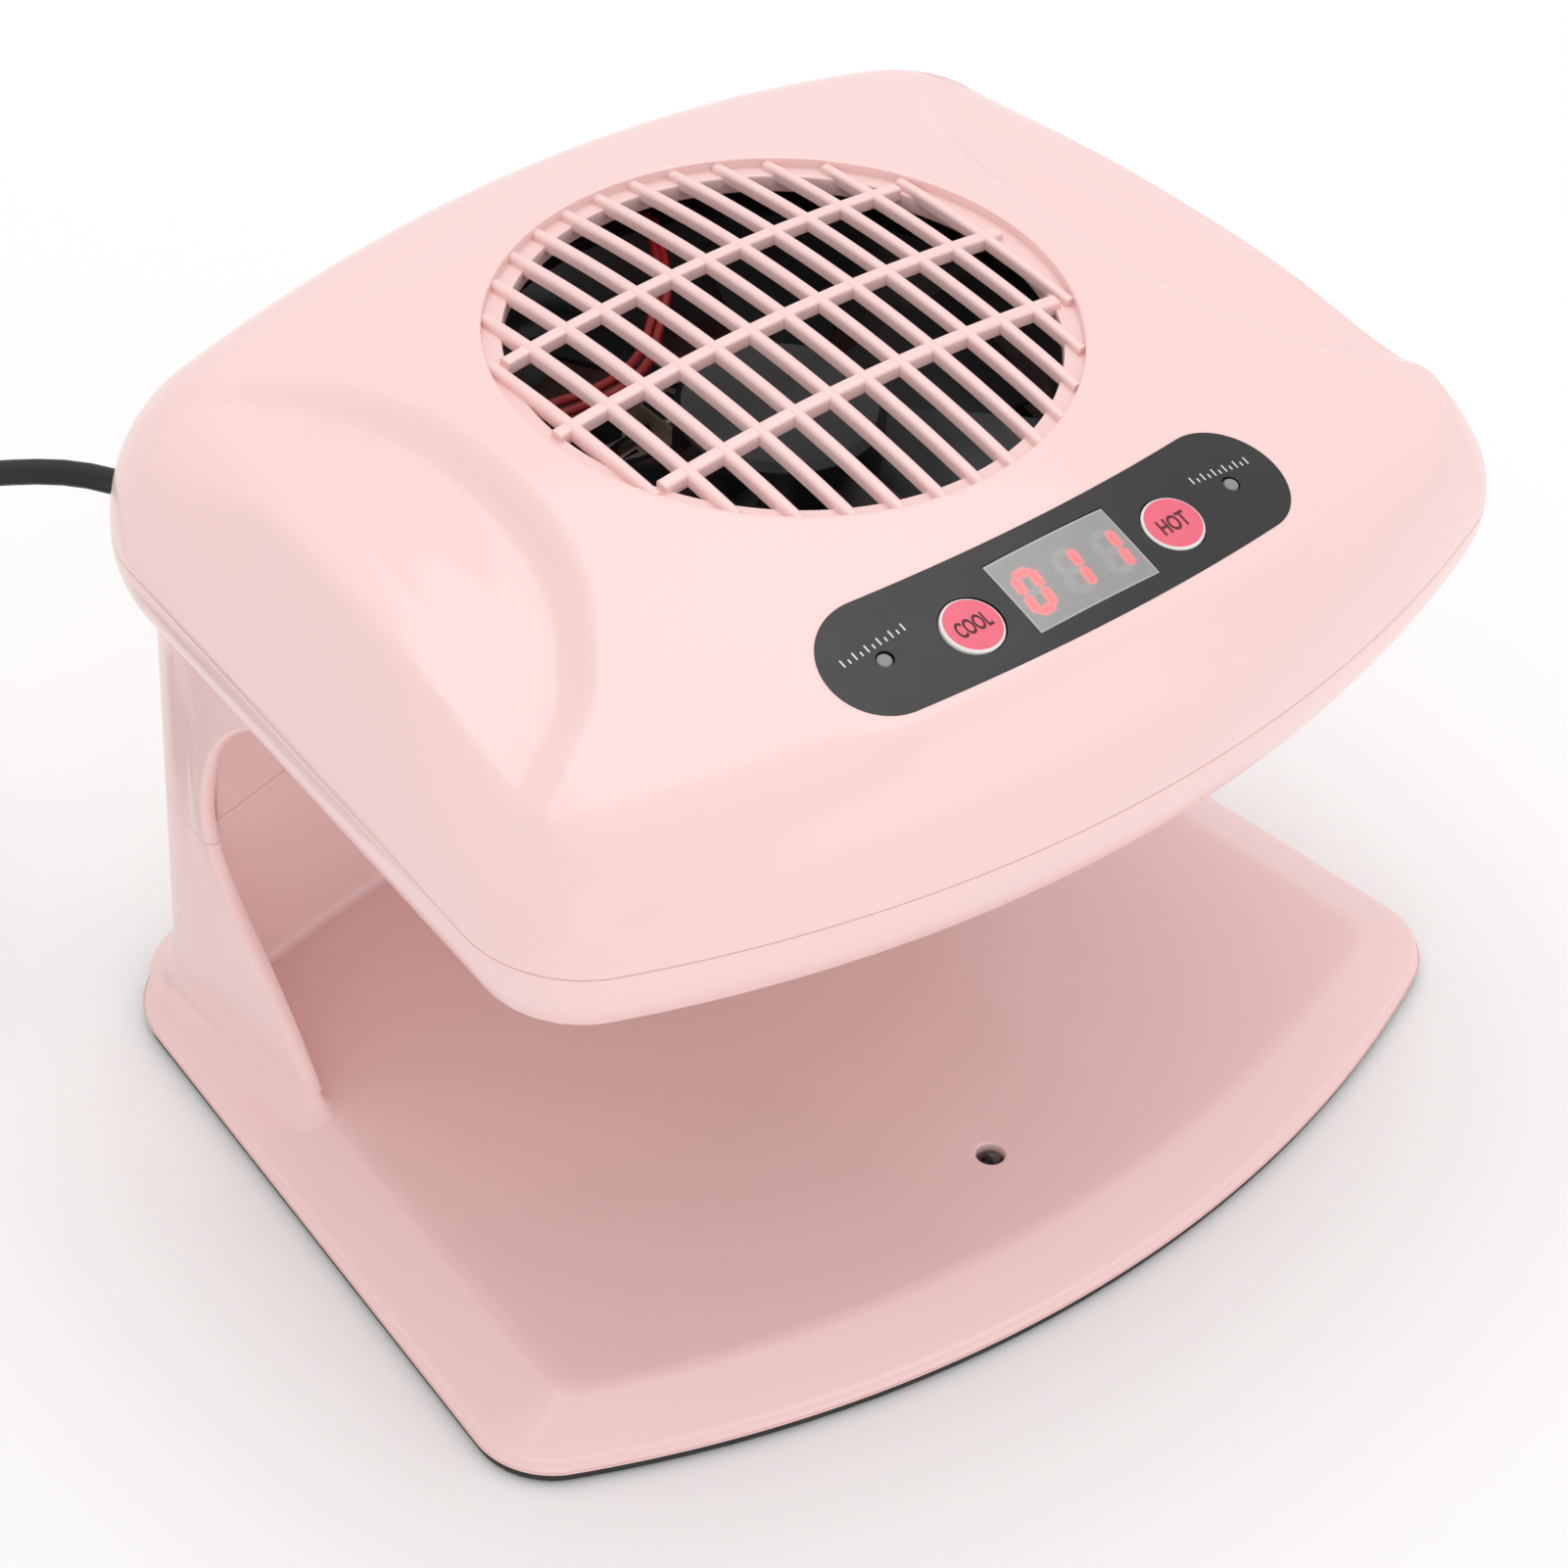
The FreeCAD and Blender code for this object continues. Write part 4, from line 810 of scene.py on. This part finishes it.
def shrunk(ring, by):
    """A ring moved inwards in plan."""
    ahead = np.roll(ring, -1, axis=0) - np.roll(ring, 1, axis=0)
    normal = np.column_stack([ahead[:, 1], -ahead[:, 0]])
    normal /= np.maximum(np.linalg.norm(normal, axis=1)[:, None], 1e-9)
    out = ring.copy()
    out[:, :2] -= normal * by
    return out


def column_lip(sign):
    """The lip on one side of the column's parting line, from inside outwards."""
    return [shrunk(column_ring(SPLIT_Z + sign * off), by) for by, off in COLUMN_LIP]


def upper_column():
    """The upper half of the column, with closer rings where the cheeks curve forward."""
    rings = column_lip(1)
    rings += [column_ring(z) for z in np.linspace(SPLIT_Z + COLUMN_LIP_END, COLUMN_CURVE_Z, 34)]
    rings += [column_ring(z) for z in np.linspace(COLUMN_CURVE_Z + 0.5, HEAD_LOW + 0.6, 32)]
    return loft(rings)


add_piece("head_lower_casing", make_mesh("head_lower_casing", *join([build_pan(), upper_column()])),
          pink, replaces=("head_lower_shell",))


# ---------------------------------------------------------------- the base
# Rings of the base from its skirt up to the sensor's hole. SKIRT holds inset and height above the skirt's
# bottom, RIDGE inset and height, SLOPE the share of the way from ridge to deck and a drop that rounds the
# deck's edge, DECK_EDGE inset and the same drop, and SENSOR_HOLE a radius and its depth.
SKIRT = ((2.6, 0.0), (0.7, 0.0), (0.3, 0.25), (0.25, 0.7))
SKIRT_TOP = RIDGE_Z - 1.6
RIDGE = ((1.05, 5.0), (1.12, 5.5), (1.3, 5.95), (1.6, 6.3), (2.0, 6.55), (2.5, 6.8))
SLOPE = ((0.12, 0.0), (0.25, 0.0), (0.4, 0.0), (0.55, 0.0), (0.7, 0.0), (0.8, 0.0), (0.87, 0.0),
         (0.92, 0.05), (0.97, 0.16), (1.0, 0.27))
DECK_EDGE = ((0.6, 0.12), (1.3, 0.03), (2.2, 0.0))
SENSOR_HOLE = ((3.15, 0.05), (2.95, 0.25), (2.9, 0.6), (2.9, 5.0))
SENSOR_RIM = 3.5


def build_base():
    """The base shell as one loft: skirt, ridge, slope, deck and the hand sensor's hole."""
    rings = [lift(outline(BASE, inset), SKIRT_Z + up) for inset, up in SKIRT]
    for t in np.linspace(0.25, 1, 5)[:-1]:
        rings.append(lift(outline(BASE, 0.2 + t), SKIRT_Z + (SKIRT_TOP - SKIRT_Z) * t))
    rings += [lift(outline(BASE, inset), z) for inset, z in RIDGE]
    ridge = outline(BASE, RIDGE_INSET)
    deck = outline(DECK, 0.0)
    for t, down in SLOPE:
        rings.append(lift(ridge + (deck - ridge) * t, RIDGE_Z + (DECK_Z - RIDGE_Z) * t - down))
    rings += [lift(outline(DECK, inset), DECK_Z - down) for inset, down in DECK_EDGE]
    inner = outline(DECK, DECK_EDGE[-1][0])
    low, high = corners_mm("ir_sensor")
    centre = (low[:2] + high[:2]) / 2
    hole = polar_ring(inner, centre, SENSOR_RIM)
    for t in np.linspace(0, 1, 24)[1:]:
        rings.append(lift(inner + (hole - inner) * t, DECK_Z))
    rings += [lift(polar_ring(inner, centre, radius), DECK_Z - down) for radius, down in SENSOR_HOLE]
    return loft(rings)


def deck_height(plan):
    """Height of the base's surface, on the deck and down the slope round it."""
    ring = outline(DECK, 0.0)
    ridge = outline(BASE, RIDGE_INSET)
    d = np.linalg.norm(plan[:, None, :] - ring[None, :, :], axis=2)
    i = d.argmin(axis=1)
    out = ridge[i] - ring[i]
    width = np.linalg.norm(out, axis=1)
    beyond = ((plan - ring[i]) * out).sum(axis=1) / width
    return DECK_Z - (DECK_Z - RIDGE_Z) * np.clip(beyond / width, 0, 1)


def column_foot():
    """The flare where the column meets the base: wide outside, tight inside and at the rear.

    Returns its rings from the ground up, and the height of each point of the half where it ends."""
    half, share = column_plan(FLARE_Z)
    ahead = np.gradient(half, axis=0)
    normal = np.column_stack([ahead[:, 1], -ahead[:, 0]])
    normal /= np.linalg.norm(normal, axis=1)[:, None]
    rear = smoothstep(*FLARE_FADE, half[:, 1])
    radius = FLARE_IN + (FLARE_OUT - FLARE_IN) * share * (1 - rear) + FLARE_REAR * rear
    stop = np.radians(FLARE_ANGLE - FLARE_LESS * share)
    reach = radius * (1 - np.cos(stop))
    ground = deck_height(half + normal * reach[:, None]) - FLARE_SINK
    rings = []
    for t in np.linspace(1, 0, 9):
        a = stop * t
        plan = half + normal * (radius * (1 - np.cos(a)))[:, None]
        z = ground + radius * (np.sin(stop) - np.sin(a))
        rings.append(both_halves(lift(plan, z)))
    return rings, z


def lower_column():
    """The lower half of the column, from its flared foot to the parting line."""
    rings, start = column_foot()
    rings.pop()
    for t in np.linspace(0, 1, 30):
        rings.append(column_ring(start + (SPLIT_Z - COLUMN_LIP_END - start) * t))
    return loft(rings + column_lip(-1)[::-1])


add_piece("base_casing", make_mesh("base_casing", *join([build_base(), lower_column()])),
          pink, replaces=("base_cover",))


# ---------------------------------------------------------------- finishes of the CAD pieces
def overlay_film():
    """The panel's printed film: near black, with a fine matt speckle."""
    s = Shader("overlay_film")
    s.colour(s.mix(s.noise(2600.0, 2.0), (0.009, 0.0092, 0.009), (0.014, 0.0143, 0.0137)))
    s.rough(s.spread(s.noise(90.0, 4.0), 0.30, 0.38))
    s.bump(s.noise(5200.0, 1.0), 0.12, 0.02 * MM)
    return s.material


def board():
    """A circuit board: green lacquer over faint tracks."""
    s = Shader("green_board")
    tracks = s.noise(180.0, 1.0)
    s.colour(s.mix(s.step(tracks, 0.48, 0.52), (0.02, 0.16, 0.06), (0.03, 0.24, 0.09)))
    s.rough(0.4)
    s.bump(tracks, 0.3, 0.03 * MM)
    return s.material


def windings():
    """Copper wire in close turns."""
    s = Shader("copper_windings")
    turns = s.noise(1.0, 1.0, s.stretch(60.0, 60.0, 3400.0))
    s.colour(s.mix(turns, (0.35, 0.13, 0.05), (0.75, 0.36, 0.16)))
    s.rough(0.38)
    s.bump(turns, 0.6, 0.15 * MM)
    s.set(Metallic=0.85)
    return s.material


def pin_metal(sleeve_end=0.0095, sleeve_edge=0.0002):
    """Plug pins: an insulating sleeve near the body, bare nickel beyond it (sizes in metres)."""
    s = Shader("plug_pin_metal")
    body_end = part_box("plug_pins")[0].y
    along = s.node("ShaderNodeSeparateXYZ", Vector=s.coords).outputs["Y"]
    bare = s.step(along, body_end + sleeve_end, body_end + sleeve_end + sleeve_edge)
    lines = s.noise(700.0, 3.0)
    nickel = s.mix(lines, (0.62, 0.61, 0.58), (0.75, 0.74, 0.71))
    s.colour(s.mix(bare, (0.02, 0.02, 0.02), nickel))
    s.plug(s.bsdf.inputs["Metallic"], bare)
    s.rough(s.spread(lines, 0.22, 0.34))
    return s.material


# Each plastic() finish: name, colour, lowest and highest roughness, then grain, depth, tint and coat.
PLASTICS = {
    "base_plate": ("plate_black_plastic", (0.018, 0.018, 0.0175), 0.42, 0.58, 1600.0, 0.05),
    "outlet_grille": ("outlet_black_plastic", (0.045, 0.045, 0.045), 0.40, 0.55, 1500.0, 0.05),
    "foot": ("foot_rubber", (0.040, 0.040, 0.042), 0.70, 0.85, 700.0, 0.08),
    "heater_cards": ("mica_card", (0.50, 0.42, 0.30), 0.45, 0.60, 400.0, 0.08, 0.2),
    "fan": ("fan_black_plastic", (0.022, 0.022, 0.024), 0.26, 0.36, 1200.0, 0.04),
    "switch": ("switch_black", (0.03, 0.03, 0.032), 0.35, 0.5),
    "display_module": ("display_potting", (0.30, 0.29, 0.29), 0.5, 0.6),
    "lamp": ("lamp_lens", (0.26, 0.25, 0.245), 0.30, 0.42, 500.0, 0.05),
    "ir_sensor": ("sensor_epoxy", (0.012, 0.012, 0.014), 0.10, 0.16, 400.0, 0.01, 0.06, 0.5),
    "thermal_cutoff": ("cutoff_black", (0.03, 0.03, 0.03), 0.4, 0.5),
    "capacitor": ("capacitor_sleeve", (0.04, 0.07, 0.20), 0.25, 0.35),
    "triac": ("triac_epoxy", (0.02, 0.02, 0.02), 0.4, 0.5),
    "terminal_block": ("terminal_green", (0.06, 0.30, 0.12), 0.35, 0.5),
    "lead_wires": ("wire_red", (0.30, 0.008, 0.011), 0.30, 0.42, 900.0, 0.03, 0.15),
    "cord": ("cord_black_pvc", (0.0045, 0.005, 0.0045), 0.40, 0.52, 1400.0, 0.05),
}

# Each metal() finish: name, colour, lowest and highest roughness, and how its lines are stretched.
METALS = {
    "heater_coil": ("resistance_wire", (0.42, 0.38, 0.36), 0.35, 0.50, (900.0, 900.0, 900.0)),
    "transformer": ("transformer_laminations", (0.25, 0.25, 0.26), 0.4, 0.55, (20.0, 2500.0, 20.0)),
    "heat_sink": ("heat_sink_aluminium", (0.62, 0.63, 0.64), 0.3, 0.45),
}
finishes = {key: plastic(*values) for key, values in PLASTICS.items()}
finishes.update({key: metal(*values) for key, values in METALS.items()})
finishes.update(fan_stator=windings(), panel_overlay=overlay_film(), pcb=board(), plug_pins=pin_metal())

# Nodes whose finish is named neither by their whole name nor by its first word. The screws other than the
# fan's are out of sight and keep the frame's own steel.
FINISH_OF = {
    "control_ic": "switch", "screws_fan": "fan", "strain_relief": "cord", "plug_body": "cord",
    "control_pcb": "pcb", "power_pcb": "pcb", "sensor_pcb": "pcb",
}


def finish_node(name, material):
    obj = nodes[name]
    for slot in obj.material_slots:
        slot.material = material
    if not obj.material_slots:
        obj.data.materials.append(material)


power_lead.data.materials.append(finishes["cord"])
for node_name in nodes:
    for key in (FINISH_OF.get(node_name), node_name, node_name.split("_")[0]):
        if key in finishes:
            finish_node(node_name, finishes[key])
            break


# ---------------------------------------------------------------- keys, display and panel marks
PANEL_BACK = CROWN_Y - PANEL_Y
PANEL_SLOPE = PANEL_BACK / math.sqrt(CROWN_LONG ** 2 - PANEL_BACK ** 2)
panel_normal = Vector((0, -PANEL_SLOPE, 1)).normalized()
panel_x = Vector((1, 0, 0))
panel_matrix = frame_matrix(panel_x, panel_normal.cross(panel_x), panel_normal,
                            Vector((0, PANEL_Y, crown(0.0, PANEL_Y))))


def panel_surface(u, v, drop):
    """A panel point's place on the crowned top, lowered by drop."""
    p = place(lift(np.column_stack([u, v]), 0.0), panel_matrix)
    p[:, 2] = crown(p[:, 0], p[:, 1]) - drop
    return p


KEY_RING = (5.52, 5.6)


def key_cap_material(name, side):
    """A key cap: pink-red face, and a thin pale ring from its edge down its sides."""
    s = Shader(name)
    centre = (panel_matrix @ Vector((side * BUTTON_X, BUTTON_V, 0))) * MM
    spot = s.vector_math("SUBTRACT", s.coords, centre)["Vector"]
    along = s.vector_math("DOT_PRODUCT", spot, panel_normal)["Value"]
    length = s.vector_math("LENGTH", spot)["Value"]
    square = s.math("SUBTRACT", s.math("POWER", length, 2.0), s.math("POWER", along, 2.0))
    radius = s.math("SQRT", s.math("MAXIMUM", square, 0.0))
    ring = s.step(radius, *(r * MM for r in KEY_RING))
    face = s.mix(s.noise(500.0, 3.0), (0.80, 0.10, 0.165), (0.86, 0.135, 0.205))
    s.colour(s.mix(ring, face, (0.88, 0.84, 0.84)))
    s.rough(s.spread(s.noise(260.0, 3.0), 0.30, 0.42))
    s.bump(s.noise(1500.0, 1.0), 0.15, 0.02 * MM)
    s.set(Coat_Weight=0.2, Coat_Roughness=0.12)
    return s.material


finish_node("button_cool", key_cap_material("key_cap_left", -1))
finish_node("button_hot", key_cap_material("key_cap_right", 1))

film_mesh = nodes["panel_overlay"].data.copy()
film_mesh.name = "panel_film"
film_mesh.transform(Matrix.Translation((0, 0, FILM_RISE * MM)))
add_piece("panel_film", film_mesh, finishes["panel_overlay"], replaces=("panel_overlay",))

key_ink = plastic("key_ink", (0.085, 0.008, 0.016), 0.45, 0.6, 2500.0, 0.01)
white_ink = plastic("white_ink", (0.72, 0.72, 0.71), 0.45, 0.6, 2500.0, 0.01)
LETTER_HEIGHT = 3.5
LETTER_THICK = 0.06
LETTER_LIFT = 0.02


def key_word(name, word, width, side, body):
    """A plain sans word printed on a key, at a set width."""
    data = bpy.data.curves.new(name, "FONT")
    data.body = word
    data.extrude = 0.01
    data.offset = 0.022
    data.space_character = 0.98
    holder = bpy.data.objects.new(name, data)
    mesh = bpy.data.meshes.new_from_object(holder)
    bpy.data.objects.remove(holder)
    bpy.data.curves.remove(data)
    co = np.array([v.co for v in mesh.vertices])
    low, high = co.min(axis=0), co.max(axis=0)
    key_top = BUTTON_RISE - arc_sag(CROWN_SIDE, BUTTON_X)
    co = (co - (low + high) / 2) / (high - low) * np.array([width, LETTER_HEIGHT, LETTER_THICK])
    co = place(co + np.array([side * BUTTON_X, BUTTON_V, key_top + LETTER_LIFT]), panel_matrix) * MM
    for vertex, point in zip(mesh.vertices, co):
        vertex.co = point
    mesh.name = name
    add_piece(name, mesh, key_ink, body)


key_word("key_word_cool", "COOL", 7.4, -1, "cool_key")
key_word("key_word_hot", "HOT", 6.4, 1, "hot_key")

STROKES = 11
STROKE_PITCH = 1.36
STROKE_W = 0.32
STROKE_HEIGHTS = (1.7, 1.0)
STROKE_V = 5.1
INK_RISE = 0.03


def lamp_marks(name, side):
    """A row of short printed strokes behind a lamp."""
    parts = []
    for i in range(STROKES):
        u = side * LAMP_X + (i - (STROKES - 1) / 2) * STROKE_PITCH
        us = u + STROKE_W / 2 * np.array([-1, 1, 1, -1])
        vs = STROKE_V + STROKE_HEIGHTS[i % 2] * np.array([0, 0, 1, 1])
        parts.append((panel_surface(us, vs, -FILM_RISE - INK_RISE), [(0, 1, 2, 3)]))
    add_piece(name, make_mesh(name, *join(parts)), white_ink)


lamp_marks("lamp_marks_left", -1)
lamp_marks("lamp_marks_right", 1)

DIGIT_PITCH = 9.3
DIGIT_W = 3.9
DIGIT_H = 8.5
DIGIT_V = -0.5
DIGIT_SLANT = 0.10
DIGIT_GAP = 0.35
DIGIT_STROKE = 1.2
POINT_SLANT = 0.75
FACE_STEP = 0.14
FACE_MARGIN = 0.1
FACE_RISE = 0.04
ZERO = ("top", "right_high", "right_low", "bottom", "left_low", "left_high")
ONE = ("right_high", "right_low")


def stroke_distance(u, v, strokes):
    """Distance from straight strokes with pointed ends, each given by its two ends."""
    best = np.full(u.shape, np.inf)
    for (x0, y0), (x1, y1) in strokes:
        dx, dy = x1 - x0, y1 - y0
        size = math.hypot(dx, dy)
        dx, dy = dx / size, dy / size
        along = (u - x0) * dx + (v - y0) * dy
        across = np.abs((u - x0) * dy - (v - y0) * dx)
        end = np.maximum(-along, along - size)
        best = np.minimum(best, np.maximum(across - DIGIT_STROKE / 2, end + POINT_SLANT * across))
    return best


def digit_strokes(centre, wanted):
    """The wanted strokes of a seven-segment digit."""
    w = DIGIT_W / 2
    h = DIGIT_H / 2
    gap = DIGIT_GAP

    def slanted(x, y):
        return centre + x + DIGIT_SLANT * y, y + DIGIT_V

    strokes = {
        "top": ((-w + gap, h), (w - gap, h)),
        "right_high": ((w, h - gap), (w, gap)),
        "right_low": ((w, -gap), (w, -h + gap)),
        "bottom": ((-w + gap, -h), (w - gap, -h)),
        "left_low": ((-w, -gap), (-w, -h + gap)),
        "left_high": ((-w, h - gap), (-w, gap)),
        "middle": ((-w + gap, 0.0), (w - gap, 0.0)),
    }
    return [(slanted(*strokes[k][0]), slanted(*strokes[k][1])) for k in wanted]


def build_display():
    """The display's face: three vertex attributes carry its lit strokes, unlit strokes and pale edge."""
    half_u, half_v = WINDOW[0] / 2, WINDOW[1] / 2
    nu, nv = (int(size / FACE_STEP) for size in WINDOW)
    us = np.linspace(-half_u + FACE_MARGIN, half_u - FACE_MARGIN, nu)
    vs = np.linspace(-half_v + FACE_MARGIN, half_v - FACE_MARGIN, nv)
    u, v = (g.ravel() for g in np.meshgrid(us, vs))
    lit = []
    dim = []
    for centre, shown in ((-DIGIT_PITCH, ZERO), (0.0, ONE), (DIGIT_PITCH, ONE)):
        lit += digit_strokes(centre, shown)
        dim += digit_strokes(centre, ZERO + ("middle",))
    border = np.minimum(half_u - np.abs(u), half_v - np.abs(v))
    faces = []
    for j in range(nv - 1):
        for a in range(j * nu, j * nu + nu - 1):
            faces.append((a, a + 1, a + nu + 1, a + nu))
    mesh = make_mesh("display_face", panel_surface(u, v, -FACE_RISE), faces)
    for key, values in (("glow", 1 - smoothstep(-0.4, 0.85, stroke_distance(u, v, lit))),
                        ("faint", 1 - smoothstep(-0.3, 0.9, stroke_distance(u, v, dim))),
                        ("edge", 1 - smoothstep(0.3, 0.6, border))):
        layer = mesh.attributes.new(key, "FLOAT", "POINT")
        layer.data.foreach_set("value", values.astype(np.float32))
    return mesh


def display_material():
    """Grey plastic behind the window, with glowing red strokes."""
    s = Shader("display_face")
    glow, faint, edge = (s.attribute(name) for name in ("glow", "faint", "edge"))
    ground = s.mix(s.noise(700.0, 3.0), (0.285, 0.275, 0.268), (0.325, 0.312, 0.303))
    quiet = s.mix(s.math("MULTIPLY", faint, 0.5), ground, (0.40, 0.395, 0.385))
    quiet = s.mix(s.math("MULTIPLY", edge, 0.6), quiet, (0.52, 0.50, 0.49))
    s.colour(s.mix(glow, quiet, (0.95, 0.16, 0.17)))
    s.rough(s.spread(s.noise(120.0, 3.0), 0.24, 0.32))
    s.plug(s.bsdf.inputs["Emission Color"], s.mix(glow, (0.0, 0.0, 0.0), (1.0, 0.10, 0.11)))
    s.set(Emission_Strength=0.55, Coat_Weight=0.3, Coat_Roughness=0.1)
    return s.material


add_piece("display_face", build_display(), display_material(), replaces=("display_window",))


# ---------------------------------------------------------------- the room
# Sizes are in metres here. A softbox has a name, a place, the point it aims at, a size and a power in watts.
FLOOR_HALF = 3
SKY_STRENGTH = 0.85
SOFTBOXES = (
    ("softbox_top", (0.15, 0.20, 1.3), (0.0, 0.0, 0.1), 1.0, 3.9),
    ("softbox_left", (-0.60, -0.64, 0.20), (0.0, 0.0, 0.05), 0.5, 0.35),
    ("softbox_front", (0.30, -1.10, 0.10), (0.0, 0.0, 0.03), 0.8, 1.6),
)


def make_floor():
    """A plain pale floor."""
    mesh = bpy.data.meshes.new("floor")
    side = FLOOR_HALF
    corners = [(-side, -side, 0), (side, -side, 0), (side, side, 0), (-side, side, 0)]
    mesh.from_pydata(corners, [], [(0, 1, 2, 3)])
    floor = bpy.data.objects.new("floor", mesh)
    s = Shader("floor_white")
    s.colour(s.mix(s.noise(3.0, 2.0), (0.955, 0.955, 0.955), (0.97, 0.97, 0.97)))
    s.rough(0.9)
    mesh.materials.append(s.material)
    bpy.context.scene.collection.objects.link(floor)


def make_light():
    """Soft studio light: a white surround and three softboxes."""
    world = bpy.data.worlds.new("studio")
    world.use_nodes = True
    background = world.node_tree.nodes["Background"]
    background.inputs["Color"].default_value = (1.0, 1.0, 1.0, 1.0)
    background.inputs["Strength"].default_value = SKY_STRENGTH
    bpy.context.scene.world = world
    for name, place_at, aim, size, power in SOFTBOXES:
        light = bpy.data.lights.new(name, "AREA")
        light.size = size
        light.energy = power
        lamp = bpy.data.objects.new(name, light)
        lamp.location = place_at
        lamp.rotation_mode = "QUATERNION"
        lamp.rotation_quaternion = (Vector(aim) - Vector(place_at)).to_track_quat("-Z", "Y")
        bpy.context.scene.collection.objects.link(lamp)
    bpy.context.scene.view_settings.view_transform = "Standard"


make_floor()
make_light()

bpy.context.view_layer.update()
